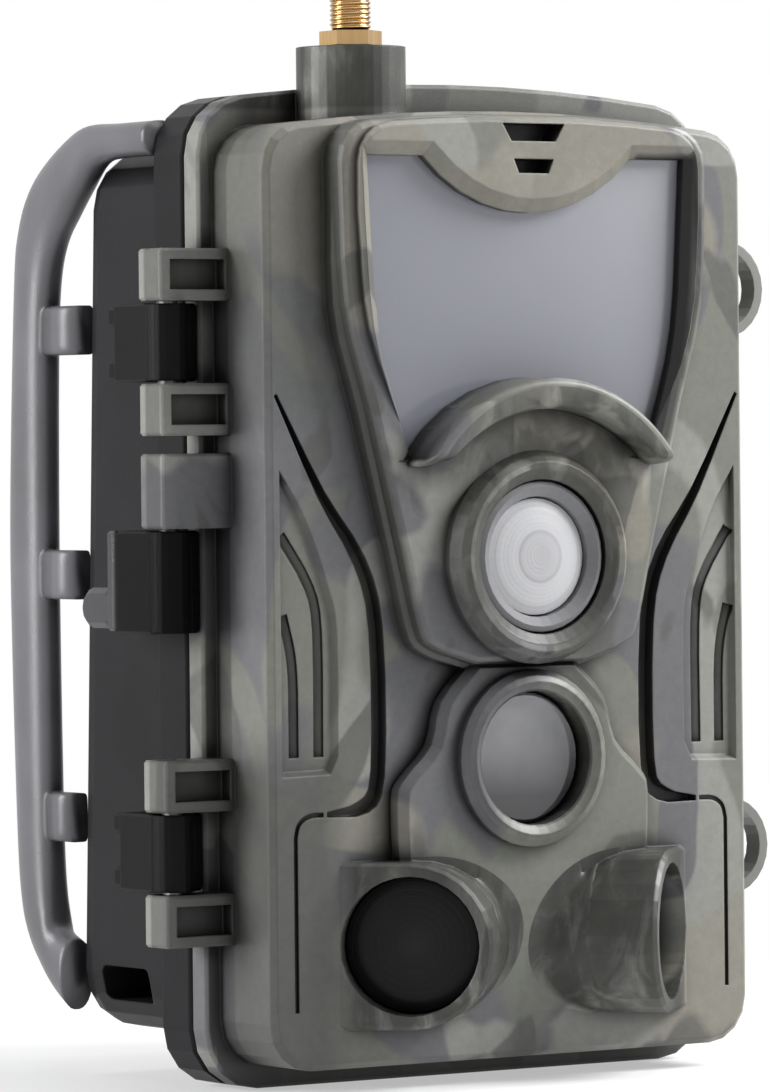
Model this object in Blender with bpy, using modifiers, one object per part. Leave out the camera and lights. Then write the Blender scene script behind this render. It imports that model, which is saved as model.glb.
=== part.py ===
"""Trail camera: a camo front half hinged on a black rear case, with its strap rails, latches and inner parts.

Metres, +Z up. The lens side faces -Y and +X is to the right of someone who looks at the lens.
The origin is on the underside of the rear case rim, halfway across.
"""
import math

import bmesh
import bpy
import numpy as np
from mathutils import Matrix, Vector

# Fits
GAP = 0.0003            # clearance between neighbouring pieces
SINK = 0.0006           # how far a fused form runs into what carries it
REACH = 0.004           # how far a cutter runs past the face it opens
EDGE_FINE = 0.0003      # roundings, from the finest edge to the softest
EDGE_SMALL = 0.0004
EDGE_MEDIUM = 0.0005
EDGE_MOULD = 0.0006
FACE_ROUND = 0.0009
RAIL_ROUND = 0.0018
FOOT_ROUND = 0.0012
HOOD_ROUND = 0.0013
FLAT_ANGLE = math.radians(1.0)

# Case outline, seen from the front
CASE_WIDTH = 0.0914
CASE_HEIGHT = 0.148
ARCH_RADIUS = 0.310     # the top edge is a long arch
RIM_CORNER = 0.009
FACE_STEP = 0.0025      # the front moulding stands in from the rim by this much at the sides
FACE_STEP_BOTTOM = 0.0034
FACE_STEP_TOP = 0.0046
FACE_CORNER = 0.007
WALL = 0.0025

# Case depth, front to back
REAR_RIM_DEPTH = 0.008
FRONT_RIM_DEPTH = 0.004
FACE_DEPTH = 0.014      # from the front rim to the face
GROOVE_DEPTH = 0.0022   # the deepest cut in the face
REAR_DEPTH = 0.0284     # rear case, from the seam to the top of its back
BACK_LEAN = 0.043       # the back leans outwards towards the foot
REAR_INSET = 0.0010
REAR_BOTTOM = 0.007
REAR_TOP_DROP = 0.007
REAR_CORNER = 0.009
REAR_EDGE = 0.004

# Face relief: how far each form stands out of the face, or is cut into it
BODY_RISE = 0.0050
BODY_LEDGE = 0.0020     # height of the ledge round the centre body
BODY_LEDGE_WIDTH = 0.0010
FRAME_RISE = 0.0065
FOOT_RISE = 0.0036
HOOD_RISE = 0.0120
PANEL_DEPTH = 0.0009
PANEL_SLOPE = 0.0007
ARM_SLOT_RADIUS = 0.0010
ARM_LINE_WIDTH = 0.0007

# Window over the infrared emitters
WINDOW_TOP = 0.1364
WINDOW_TOP_HALF = 0.0286
WINDOW_MID_Z = 0.111
WINDOW_MID_HALF = 0.0268
WINDOW_TIP_HALF = 0.0216
NOTCH_DEPTH = 0.0082
NOTCH_HALF = 0.0187
WINDOW_DEPTH = 0.0033   # window face behind the frame's face
WINDOW_THICK = 0.0015
WINDOW_LAP = 0.0010     # the panel runs this far behind the frame
WINDOW_BEVEL = 0.0020   # width of the slope round the window
WINDOW_BEVEL_DEPTH = 0.0017
FRAME_WIDTH = 0.0042

# Motion sensor and camera window on the centre line
PIR_Z = 0.0776
PIR_BEZEL_RADIUS = 0.0158
PIR_BORE = 0.0114
PIR_BEZEL_RISE = 0.0092
PIR_LENS_RADIUS = 0.0086
PIR_LENS_RISE = 0.0058
PIR_LENS_DOME = 0.0016
PIR_LENS_THICK = 0.0010
PIR_FLANGE = 0.0010
PIR_RING_RISE = 0.0076
BEZEL_SIDE = 0.0014     # upright part of a bezel, before its rounded shoulder
BEZEL_SHOULDER = 0.0018
BEZEL_LIP = 0.0014
HOOD_INNER = 0.0266
HOOD_OUTER = 0.0264
HOOD_DROP = 0.0048      # centre of the brow's inner arch below the sensor's
HOOD_FOOT = 0.0144      # the brow's feet above the sensor's centre
LENS_Z = 0.0479
LENS_BEZEL_RADIUS = 0.0131
LENS_BEZEL_RISE = 0.0064
LENS_SEAT_RISE = 0.0011 # the glass's seat ahead of the face
LENS_BORE = 0.0099
LENS_GLASS_THICK = 0.0014
CAMERA_BARREL = 0.0068
CAMERA_MOUTH = 0.0042
CAMERA_EYE = 0.0030
CAMERA_DISH = 0.0016
HOLDER_DEPTH = 0.0034
HOLDER_BORDER = 0.0016

# Side sensor pods
POD_ANGLE = math.radians(42)
POD_X = 0.0238
POD_Z = 0.0213
POD_FORWARD = 0.0068    # mouth centre ahead of the face
POD_HALF = 0.0122
POD_BORE = 0.0102
POD_LENGTH = 0.0150
POD_LENS_SET = 0.0045   # the lens stands this far inside the mouth
POD_LENS_THICK = 0.0016
POD_LENS_DOME = 0.0010

# Antenna base and coax jack
ANTENNA_X = -0.0213
ANTENNA_BACK = 0.0098   # behind the face
ANTENNA_RADIUS = 0.0081
ANTENNA_RISE = 0.0094   # above the top of the face
JACK_THREAD = 0.003175
JACK_LENGTH = 0.0102
JACK_NUT_ACROSS = 0.0080
JACK_NUT_THICK = 0.0021
JACK_BORE = 0.0022

# Hinge on the left side
HINGE_OUT = 0.0056      # axis outside the rim
HINGE_AHEAD = 0.00415   # axis ahead of the seam
LUG_RADIUS = 0.0038
LUG_FRONT = 0.0044      # front of a lug ahead of the axis
LUG_HEIGHT = 0.0076
LUG_CORE_DEPTH = 0.0024
LUG_RIB = 0.0016
KNUCKLE_HEIGHT = 0.0120
KNUCKLE_RADIUS = 0.0034
HINGE_ZS = (0.1095, 0.0352)
KNUCKLE_DEPTH = 0.0050  # how far a knuckle reaches behind the seam
GUSSET_REACH = 0.0042
GUSSET_THICK = 0.0029
PIN_RADIUS = 0.0015
KEEPER_LOW = 0.0824     # the lock's keeper lug on the front half
KEEPER_HIGH = 0.0933

# Lock between the hinges: a bolt on the hinge axis with a thumb tab
LOCK_LOW = 0.0671
BOLT_RADIUS = 0.0015
BOLT_ENGAGE = 0.0048
TAB_HEIGHT = 0.0060
TAB_LENGTH = 0.0092
TAB_HALF = 0.0024
STEM_HALF = 0.0010
SLIDE_THICK = 0.0022

# Latches and padlock eye on the right side
LATCH_ZS = (0.1177, 0.0320)
LATCH_HEIGHT = 0.0150
LATCH_PIVOT_OUT = 0.0036
LATCH_PIVOT_BEHIND = 0.0058
LATCH_THICK = 0.0024
LATCH_BARREL = 0.0023
LATCH_PIN = 0.0012
LATCH_OUT = 0.0580      # outermost point of the finger loop
LOOP_THICK = 0.0015
LOOP_WIDTH = 0.0036
CLAW_DEPTH = 0.0019
CLAW_REACH = 0.0017     # how far the claw laps over the rim
EAR_THICK = 0.0030
EYE_Z = 0.0752
EYE_RADIUS = 0.0044
EYE_HOLE = 0.0031
EYE_X = 0.0492

# Strap rails at the back
RAIL_OUT = 0.0010       # the rails stand outside the rims
RAIL_THICK = 0.0055
RAIL_HIGH = 0.1425
RAIL_TOP_THICK = 0.0052
RAIL_LOW = 0.0096       # the foot, where it meets the case
RAIL_FOOT = 0.0105
# The bow of a rail, from its top arm to its foot: places behind the face and heights
RAIL_OUTER = ((0.0455, 0.1425), (0.0512, 0.1407), (0.0580, 0.1370), (0.0624, 0.1330), (0.0650, 0.1280),
              (0.0664, 0.1200), (0.0684, 0.0862), (0.0683, 0.0640), (0.0672, 0.0350), (0.0660, 0.0245),
              (0.0638, 0.0192), (0.0600, 0.0150), (0.0562, 0.0118))
RAIL_INNER = ((0.0562, 0.0219), (0.0572, 0.0248), (0.0578, 0.0350), (0.0582, 0.0700), (0.0580, 0.1050),
              (0.0576, 0.1200), (0.0566, 0.1265), (0.0540, 0.1310), (0.0490, 0.1340))
RIB_ZS = (0.1120, 0.0752, 0.0386)
RIB_HEIGHT = 0.0074
RIB_THICK = 0.0032

# Seal between the halves
GASKET_INSET = 0.0019   # its middle line, in from the rim's edge
GASKET_WIDTH = 0.0010
GASKET_DEPTH = 0.0010

# Foot of the rear case
CABLE_SLOT_LOW = 0.0117
CABLE_SLOT_HEIGHT = 0.0052
CABLE_SLOT_DEPTH = 0.0130
BOSS_HALF_WIDTH = 0.0110
BOSS_DEPTH = 0.0160
TRIPOD_RADIUS = 0.0048
TRIPOD_THREAD = 0.0031
TRIPOD_DEPTH = 0.0080

# Power cells and their tray
CELL_RADIUS = 0.00715
CELL_LENGTH = 0.0500
CELL_TIP = 0.0014
CELL_PITCH = 0.0150
CELL_COLUMNS = 4
TRAY_WALL = 0.0015
TRAY_LOW = 0.0205
TRAY_DEPTH = 0.0170
CONTACT_THICK = 0.0006
SPRING_HEIGHT = 0.0030
SPRING_RADIUS = 0.0022

# Inner parts of the front half
BOARD_BACK = 0.0100     # front of the main board behind the face
BOARD_THICK = 0.0016
PANEL_BACK = 0.0140
PANEL_THICK = 0.0020
BOSS_RADIUS = 0.0030
SCREW_RADIUS = 0.0012
SCREW_HEAD = 0.0026
SCREW_DOME = 0.0013
SCREW_XS = (-0.0340, 0.0340)
SCREW_ZS = (0.0130, 0.1330)
SCREEN_Z = 0.1000
SCREEN_WIDTH = 0.0480
SCREEN_HEIGHT = 0.0360
BUTTON_Z = 0.0480
BUTTON_PITCH = 0.0112
BUTTON_RADIUS = 0.0036
BUTTON_PROUD = 0.0012
BUTTON_TRAVEL = 0.0005
SWITCH_X = 0.0270
SWITCH_TRAVEL = 0.0030
SPEAKER_X = -0.0270
SPEAKER_RADIUS = 0.0085
SWITCH_KNOB = 0.0040
SWITCH_BRIM = 0.0012
EMITTER_RADIUS = 0.0022
EMITTER_HEIGHT = 0.0020
EMITTER_PITCH = 0.0068
EMITTER_TOP_Z = 0.1315
EMITTER_ROWS = (8, 7, 8, 7)
SENSOR_CAN = 0.0045
SENSOR_BRIM = 0.0009
SENSOR_BRIM_THICK = 0.0012
SENSOR_HEIGHT = 0.0062
SIDE_SENSOR_HEIGHT = 0.0042

# Places worked out from the sizes above
SEAM_Y = -REAR_RIM_DEPTH / 2 - GAP / 2
FRONT_SEAM_Y = SEAM_Y - GAP / 2
REAR_SEAM_Y = SEAM_Y + GAP / 2
RIM_Y = FRONT_SEAM_Y - FRONT_RIM_DEPTH
FACE_Y = RIM_Y - FACE_DEPTH
CAVITY_Y = FACE_Y + GROOVE_DEPTH + WALL
REAR_RIM_Y = REAR_SEAM_Y + REAR_RIM_DEPTH
BACK_Y = REAR_SEAM_Y + REAR_DEPTH
RIM_HALF = CASE_WIDTH / 2
FACE_HALF = RIM_HALF - FACE_STEP
FACE_TOP = CASE_HEIGHT - FACE_STEP_TOP
ANTENNA_TOP = FACE_TOP + ANTENNA_RISE
REAR_HALF = RIM_HALF - REAR_INSET
REAR_TOP = CASE_HEIGHT - REAR_TOP_DROP
CAVITY_HALF = FACE_HALF - WALL
HINGE_X = -RIM_HALF - HINGE_OUT
HINGE_Y = FRONT_SEAM_Y - HINGE_AHEAD
LATCH_X = RIM_HALF + LATCH_PIVOT_OUT
LATCH_Y = REAR_SEAM_Y + LATCH_PIVOT_BEHIND
BODY_Y = FACE_Y - BODY_RISE
FRAME_Y = FACE_Y - FRAME_RISE
WINDOW_Y = FRAME_Y + WINDOW_DEPTH
BOARD_Y = FACE_Y + BOARD_BACK
PANEL_Y = FACE_Y + PANEL_BACK
TRAY_BACK_Y = BACK_Y - WALL - GAP
BAY_LOW = TRAY_LOW - GAP
TRAY_ROW = CELL_LENGTH + SPRING_HEIGHT + 2 * CONTACT_THICK + 4 * GAP
TRAY_HIGH = TRAY_LOW + 3 * TRAY_WALL + 2 * TRAY_ROW
LOCK_HIGH = KEEPER_LOW - GAP
TRIPOD_Y = REAR_RIM_Y + BOSS_DEPTH / 2
CELL_Y = TRAY_BACK_Y - TRAY_WALL - GAP - CELL_RADIUS

# A plate's own axes in the world: its outline is drawn in local X and Y, and its thickness is local Z
ACROSS = Matrix.Identity(4)
FACING = Matrix(((1, 0, 0, 0), (0, 0, -1, 0), (0, 1, 0, 0), (0, 0, 0, 1)))
SIDEWAYS = Matrix(((0, 0, 1, 0), (1, 0, 0, 0), (0, 1, 0, 0), (0, 0, 0, 1)))

PARTS = "trail_camera"
FINISHES = {
    "camo_plastic": ((0.19, 0.20, 0.15, 1), 0.55, 0.0),
    "black_plastic": ((0.035, 0.035, 0.038, 1), 0.5, 0.0),
    "rubber": ((0.02, 0.02, 0.02, 1), 0.8, 0.0),
    "tinted_panel": ((0.10, 0.11, 0.14, 1), 0.12, 0.0),
    "milky_lens": ((0.80, 0.81, 0.83, 1), 0.35, 0.0),
    "grey_ring": ((0.30, 0.31, 0.33, 1), 0.4, 0.0),
    "dark_glass": ((0.02, 0.02, 0.03, 1), 0.05, 0.0),
    "steel": ((0.60, 0.60, 0.60, 1), 0.3, 1.0),
    "gold": ((0.85, 0.60, 0.25, 1), 0.25, 1.0),
    "brass": ((0.70, 0.52, 0.25, 1), 0.35, 1.0),
    "circuit_board": ((0.03, 0.16, 0.08, 1), 0.45, 0.0),
    "cell_sleeve": ((0.12, 0.13, 0.15, 1), 0.35, 0.0),
    "soft_key": ((0.25, 0.26, 0.27, 1), 0.6, 0.0),
}


# Scene and finishing helpers
def clear_scene():
    for item in list(bpy.data.objects):
        bpy.data.objects.remove(item)


def make_collection(name):
    group = bpy.data.collections.new(name)
    bpy.context.scene.collection.children.link(group)
    return group


def make_finish(name):
    colour, roughness, metallic = FINISHES[name]
    finish = bpy.data.materials.new(name)
    finish.use_nodes = True
    shader = finish.node_tree.nodes["Principled BSDF"]
    shader.inputs["Base Color"].default_value = colour
    shader.inputs["Roughness"].default_value = roughness
    shader.inputs["Metallic"].default_value = metallic
    return finish


def add_object(name, mesh):
    item = bpy.data.objects.new(name, mesh)
    bpy.data.collections[PARTS].objects.link(item)
    return item


def settle(item):
    """Replace an object's mesh by its evaluated one."""
    bpy.context.view_layer.update()
    graph = bpy.context.evaluated_depsgraph_get()
    mesh = bpy.data.meshes.new_from_object(item.evaluated_get(graph))
    item.modifiers.clear()
    item.data = mesh
    return item


def tidy_mesh(mesh, weld=1e-6):
    """Weld loose seams and point every face outwards."""
    form = bmesh.new()
    form.from_mesh(mesh)
    bmesh.ops.remove_doubles(form, verts=form.verts, dist=weld)
    bmesh.ops.recalc_face_normals(form, faces=form.faces)
    form.to_mesh(mesh)
    form.free()


def flatten_mesh(mesh):
    """Drop the edges that lie within flat faces."""
    form = bmesh.new()
    form.from_mesh(mesh)
    bmesh.ops.dissolve_limit(form, angle_limit=FLAT_ANGLE, verts=form.verts, edges=form.edges)
    form.to_mesh(mesh)
    form.free()


def combine(base, tool, operation):
    modifier = base.modifiers.new(operation, "BOOLEAN")
    modifier.operation = operation
    modifier.solver = "EXACT"
    modifier.object = tool
    settle(base)
    bpy.data.objects.remove(tool)
    tidy_mesh(base.data, 3e-6)
    return base


def fuse(base, *tools):
    for tool in tools:
        combine(base, tool, "UNION")
    return base


def cut(base, *tools):
    for tool in tools:
        combine(base, tool, "DIFFERENCE")
    return base


def finish_piece(item, finish, carrier=None):
    """Give a piece its material and shading, and hang it on the empty that carries it."""
    flatten_mesh(item.data)
    item.data.materials.clear()
    item.data.materials.append(bpy.data.materials[finish])
    item.data.shade_smooth()
    item.data.set_sharp_from_angle(angle=math.radians(32))
    if carrier is not None:
        bpy.context.view_layer.update()
        item.parent = carrier
        item.matrix_parent_inverse = carrier.matrix_world.inverted()
    return item


def make_carrier(name, place):
    carrier = bpy.data.objects.new(name, None)
    carrier.location = place
    bpy.data.collections[PARTS].objects.link(carrier)
    return carrier


# Shape helpers
def box(name, low, high, bevel=0.0, segments=2):
    low, high = Vector(low), Vector(high)
    form = bmesh.new()
    bmesh.ops.create_cube(form, size=1.0)
    bmesh.ops.scale(form, vec=high - low, verts=form.verts)
    bmesh.ops.translate(form, vec=(low + high) / 2, verts=form.verts)
    mesh = bpy.data.meshes.new(name)
    form.to_mesh(mesh)
    form.free()
    item = add_object(name, mesh)
    if bevel:
        rounding = item.modifiers.new("rounding", "BEVEL")
        rounding.width = bevel
        rounding.segments = segments
        settle(item)
    return item


def cylinder(name, radius, start, end, segments=20, tip_radius=None):
    start, end = Vector(start), Vector(end)
    run = end - start
    form = bmesh.new()
    bmesh.ops.create_cone(form, cap_ends=True, segments=segments, radius1=radius,
                          radius2=radius if tip_radius is None else tip_radius, depth=run.length)
    turn = run.to_track_quat("Z", "Y").to_matrix().to_4x4()
    form.transform(Matrix.Translation((start + end) / 2) @ turn)
    mesh = bpy.data.meshes.new(name)
    form.to_mesh(mesh)
    form.free()
    return add_object(name, mesh)


def turned(name, profile, place, steps=36):
    """Turn a closed profile of (radius, forward) points about an axis that runs towards -Y."""
    form = bmesh.new()
    points = [form.verts.new((radius, -forward, 0.0)) for radius, forward in profile]
    for first, second in zip(points, points[1:] + points[:1]):
        if first.co.x > 0 or second.co.x > 0:
            form.edges.new((first, second))
    mesh = bpy.data.meshes.new(name)
    form.to_mesh(mesh)
    form.free()
    item = add_object(name, mesh)
    screw = item.modifiers.new("turn", "SCREW")
    screw.axis = "Y"
    screw.steps = steps
    screw.render_steps = steps
    screw.use_merge_vertices = True
    screw.merge_threshold = 1e-6
    settle(item)
    item.data.transform(Matrix.Translation(place))
    tidy_mesh(item.data)
    return item


def curve_solid(name, data, pose):
    """Turn a filled curve into a closed mesh in the world."""
    item = add_object(name, data)
    bpy.context.view_layer.update()
    graph = bpy.context.evaluated_depsgraph_get()
    mesh = bpy.data.meshes.new_from_object(item.evaluated_get(graph))
    bpy.data.objects.remove(item)
    mesh.transform(pose)
    tidy_mesh(mesh)
    return add_object(name, mesh)


def plate(name, outlines, low, high, pose=FACING, rounding=0.0, steps=1):
    """Flat outlines, a hole in another, with a thickness from low to high along the pose's own Z."""
    data = bpy.data.curves.new(name, "CURVE")
    data.dimensions = "2D"
    data.fill_mode = "BOTH"
    data.extrude = (high - low) / 2 - rounding
    data.bevel_depth = rounding
    data.bevel_resolution = steps - 1
    data.offset = -rounding
    for outline in outlines:
        spline = data.splines.new("POLY")
        spline.points.add(len(outline) - 1)
        for point, (across, up) in zip(spline.points, outline):
            point.co = (across, up, 0.0, 1.0)
        spline.use_cyclic_u = True
    return curve_solid(name, data, pose @ Matrix.Translation((0, 0, (low + high) / 2)))


def front_plate(name, outline, front, back, rounding=0.0, steps=1, hole=None):
    """A plate that faces the lens side, between two places in Y."""
    outlines = [outline] if hole is None else [outline, hole]
    return plate(name, outlines, -back, -front, FACING, rounding, steps)


def loft(name, rings):
    """A solid through outlines that lie at places in Y; every outline has as many points."""
    form = bmesh.new()
    loops = [[form.verts.new((x, y, z)) for x, z in outline] for outline, y in rings]
    for first, second in zip(loops, loops[1:]):
        for index in range(len(first)):
            form.faces.new((first[index - 1], first[index], second[index], second[index - 1]))
    form.faces.new(loops[0])
    form.faces.new(loops[-1])
    mesh = bpy.data.meshes.new(name)
    form.to_mesh(mesh)
    form.free()
    tidy_mesh(mesh)
    return add_object(name, mesh)


def tube(name, points, radius, sides=1):
    data = bpy.data.curves.new(name, "CURVE")
    data.dimensions = "3D"
    data.bevel_depth = radius
    data.bevel_resolution = sides
    data.use_fill_caps = True
    spline = data.splines.new("POLY")
    spline.points.add(len(points) - 1)
    for point, place in zip(spline.points, points):
        point.co = (*place, 1.0)
    return curve_solid(name, data, Matrix.Identity(4))


# Outlines
def arc(centre, radius, start, end, count):
    """Points of an arc in degrees, both ends included."""
    angles = np.radians(np.linspace(start, end, count))
    return [(centre[0] + radius * math.cos(a), centre[1] + radius * math.sin(a)) for a in angles]


def rounded_box(low, high, corner, count=4):
    (left, bottom), (right, top) = low, high
    return (arc((right - corner, bottom + corner), corner, -90, 0, count)
            + arc((right - corner, top - corner), corner, 0, 90, count)
            + arc((left + corner, top - corner), corner, 90, 180, count)
            + arc((left + corner, bottom + corner), corner, 180, 270, count))


def case_outline(half, bottom, top, corner, inset=0.0, count=5):
    """The arched outline of the case, drawn in by inset."""
    half, bottom, top, corner = half - inset, bottom + inset, top - inset, corner - inset
    radius = ARCH_RADIUS - inset
    arch = (0.0, top - radius)
    shoulder = math.asin((half - corner) / (radius - corner))
    shoulder_z = arch[1] + (radius - corner) * math.cos(shoulder)
    turn = math.degrees(shoulder)
    right = (arc((half - corner, bottom + corner), corner, -90, 0, count)
             + arc((half - corner, shoulder_z), corner, 0, 90 - turn, count)
             + arc(arch, radius, 90 - turn, 90, 5)[1:])
    left = [(-x, z) for x, z in reversed(right[:-1])]
    return right + left


def smooth(points, count=5):
    """A flowing line through points, both ends included."""
    line = [Vector(point) for point in points]
    line = [2 * line[0] - line[1]] + line + [2 * line[-1] - line[-2]]
    out = []
    for before, here, there, after in zip(line, line[1:], line[2:], line[3:]):
        for t in np.linspace(0.0, 1.0, count, endpoint=False):
            pull = (there - before) * t + (2 * before - 5 * here + 4 * there - after) * t * t
            out.append(here + (pull + (3 * here - before - 3 * there + after) * t ** 3) / 2)
    return [tuple(point) for point in out] + [tuple(points[-1])]


def mirrored(right):
    """A closed outline from its right half, which runs from the bottom up and ends off the middle."""
    return right + [(-x, z) for x, z in reversed(right)]


def offset(outline, distance):
    """Move a counter-clockwise outline outwards by a distance."""
    points = [Vector(point) for point in outline]
    moved = []
    for before, here, after in zip(points[-1:] + points[:-1], points, points[1:] + points[:1]):
        first = (here - before).normalized()
        second = (after - here).normalized()
        normals = Vector((first.y, -first.x)), Vector((second.y, -second.x))
        middle = (normals[0] + normals[1]).normalized()
        moved.append(tuple(here + middle * distance / max(0.5, middle.dot(normals[0]))))
    return moved


def band(points, width):
    """The closed outline of a band along a line."""
    line = [Vector(point) for point in points]
    sides = []
    for before, after in zip(line[:1] + line, line[1:] + line[-1:]):
        along = (after - before).normalized()
        sides.append(Vector((along.y, -along.x)) * width / 2)
    near = [tuple(point + side) for point, side in zip(line, sides)]
    far = [tuple(point - side) for point, side in zip(line, sides)]
    return near + far[::-1]


# Outlines of the face, right half in front view
ARM_EDGE = ((0.0420, 0.1015), (0.0346, 0.0867), (0.0284, 0.0768), (0.0259, 0.0673), (0.0258, 0.0468),
            (0.0280, 0.0424), (0.0335, 0.0410))
GROOVE_EDGE = ((0.0415, 0.1018), (0.0333, 0.0876), (0.0263, 0.0780), (0.0233, 0.0676), (0.0232, 0.0460),
               (0.0262, 0.0406), (0.0335, 0.0402))
ARM_LINE = ((0.0341, 0.0406), (0.0366, 0.0405), (0.0384, 0.0394), (0.0390, 0.0374))
ARM_LINE_LOW = 0.0120
PANEL_EDGE = ((0.0412, 0.0908), (0.0367, 0.0837), (0.0328, 0.0737), (0.0314, 0.0669), (0.0314, 0.0490))
PANEL_FOOT = ((0.0328, 0.0464), (0.0412, 0.0462))
SLOT_LINES = (((0.0406, 0.0813), (0.0357, 0.0738), (0.0343, 0.0669), (0.0343, 0.0490)),
              ((0.0404, 0.0697), (0.0390, 0.0641), (0.0386, 0.0585), (0.0386, 0.0490)))
BODY_EDGE = ((0.0098, 0.0620), (0.0175, 0.0645), (0.0200, 0.0680), (0.0228, 0.0795), (0.0281, 0.1000),
             (0.0322, 0.1150), (0.0331, 0.1340))
BODY_TOP_DROP = 0.0006
FLARE_TOP = 0.1300      # a form's flare fades out below this
FLARE_FADE = 0.0200
FOOT_EDGE = ((0.0222, 0.0285), (0.0227, 0.0420), (0.0212, 0.0456), (0.0166, 0.0502), (0.0147, 0.0566),
             (0.0090, 0.0625))
CHIN_SLOTS = (((0.0056, 0.1413), (0.0040, 0.1387)), ((0.0036, 0.1361), (0.0027, 0.1340)))
CHIN_SLOT_DEPTH = 0.0040
SILL_POINTS = 9


def sided(outline, side):
    """Keep a counter-clockwise outline for the right side, or mirror it for the left."""
    return outline if side > 0 else [(-x, z) for x, z in reversed(outline)]


def window_outline():
    tip = math.degrees(math.acos(WINDOW_TIP_HALF / HOOD_OUTER))
    tip_z = PIR_Z + math.sqrt(HOOD_OUTER ** 2 - WINDOW_TIP_HALF ** 2)
    edge = smooth([(WINDOW_TIP_HALF, tip_z), (WINDOW_MID_HALF, WINDOW_MID_Z),
                   (WINDOW_TOP_HALF, WINDOW_TOP)], 4)
    radius = (NOTCH_HALF ** 2 + NOTCH_DEPTH ** 2) / (2 * NOTCH_DEPTH)
    swing = math.degrees(math.asin(NOTCH_HALF / radius))
    notch = arc((0.0, WINDOW_TOP - NOTCH_DEPTH + radius), radius, swing - 90, -swing - 90, 11)
    sill = arc((0.0, PIR_Z), HOOD_OUTER, 180 - tip, tip, SILL_POINTS + 2)[1:-1]
    return edge + notch + [(-x, z) for x, z in reversed(edge)] + sill


def window_flare(distance):
    """The window's outline moved outwards, apart from its sill along the brow."""
    outline = window_outline()
    return offset(outline, distance)[:-SILL_POINTS] + outline[-SILL_POINTS:]


def arched_edge(edge, drop, corner=0.006):
    """Run a right edge up into the arch that lies below the face's own by drop, and mirror it."""
    top = FACE_TOP - drop
    radius = ARCH_RADIUS - drop
    half = edge[-1][0]
    shoulder = math.asin((half - corner) / (radius - corner))
    shoulder_z = top - radius + (radius - corner) * math.cos(shoulder)
    turn = math.degrees(shoulder)
    right = (edge + arc((half - corner, shoulder_z), corner, 0, 90 - turn, 5)
             + arc((0.0, top - radius), radius, 90 - turn, 90, 4)[1:-1])
    return mirrored(right)


# Front shell
def flare(outline, distance):
    """Move an outline outwards, and less so towards the top of the face."""
    moved = []
    for (x, z), (far_x, far_z) in zip(outline, offset(outline, distance)):
        share = min(1.0, max(0.0, (FLARE_TOP - z) / FLARE_FADE))
        moved.append((x + share * (far_x - x), z + share * (far_z - z)))
    return moved


def face_forms():
    """The raised forms of the face: centre body on its ledge, window frame and camera foot."""
    body = arched_edge(smooth(BODY_EDGE, 3), BODY_TOP_DROP)
    ledge = FACE_Y - BODY_LEDGE
    edge = BODY_LEDGE_WIDTH
    forms = [loft("body", [(flare(body, edge), FACE_Y + SINK), (flare(body, edge * 0.8), ledge),
                           (body, ledge - edge / 2), (body, BODY_Y + edge),
                           (offset(body, -edge / 3), BODY_Y + edge / 3),
                           (offset(body, -edge), BODY_Y)])]
    foot = mirrored(smooth(FOOT_EDGE, 3))
    forms.append(front_plate("foot", foot, FACE_Y - FOOT_RISE, FACE_Y + SINK, FOOT_ROUND))
    half = WINDOW_TOP_HALF + FRAME_WIDTH / 2
    frame_edge = smooth([(WINDOW_TIP_HALF - SINK, PIR_Z + HOOD_FOOT + GAP),
                         (WINDOW_MID_HALF + FRAME_WIDTH / 2, WINDOW_MID_Z),
                         (half, WINDOW_TOP - NOTCH_DEPTH)], 4)
    forms.append(front_plate("frame", arched_edge(frame_edge, 2 * BODY_TOP_DROP), FRAME_Y, BODY_Y + SINK,
                             EDGE_MOULD))
    return forms


def cut_arms(shell):
    """The arms on both sides: a deep groove, a sunk panel with two slots, and a fine line to the foot."""
    for side in (1, -1):
        groove = smooth(ARM_EDGE, 3) + smooth(GROOVE_EDGE, 3)[::-1]
        groove = sided(groove[::-1], side)
        cut(shell, front_plate("groove", groove, FACE_Y - REACH, FACE_Y + GROOVE_DEPTH))
        panel = sided(smooth(PANEL_EDGE, 3) + list(PANEL_FOOT), side)
        cut(shell, loft("arm_panel", [(offset(panel, PANEL_SLOPE), FACE_Y - PANEL_DEPTH), (panel, FACE_Y),
                                      (offset(panel, -PANEL_SLOPE), FACE_Y + PANEL_DEPTH)]))
        for line in SLOT_LINES:
            path = [(side * x, FACE_Y + PANEL_DEPTH, z) for x, z in smooth(line, 3)]
            cut(shell, tube("arm_slot", path, ARM_SLOT_RADIUS))
        line = smooth(ARM_LINE, 3) + [(ARM_LINE[-1][0], ARM_LINE_LOW)]
        line = sided(band(line, ARM_LINE_WIDTH), side)
        cut(shell, front_plate("arm_line", line, FACE_Y - REACH, FACE_Y + ARM_LINE_WIDTH))


def hood_form():
    """The brow over the motion sensor: an arch with level feet."""
    radius = HOOD_OUTER - GAP
    start = math.degrees(math.asin(HOOD_FOOT / radius))
    outer = arc((0.0, PIR_Z), radius, start, 180 - start, 17)
    start = math.degrees(math.asin((HOOD_FOOT + HOOD_DROP) / HOOD_INNER))
    inner = arc((0.0, PIR_Z - HOOD_DROP), HOOD_INNER, 180 - start, start, 15)
    return front_plate("hood", outer + inner, FACE_Y - HOOD_RISE, BODY_Y + SINK, HOOD_ROUND, 2)


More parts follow.
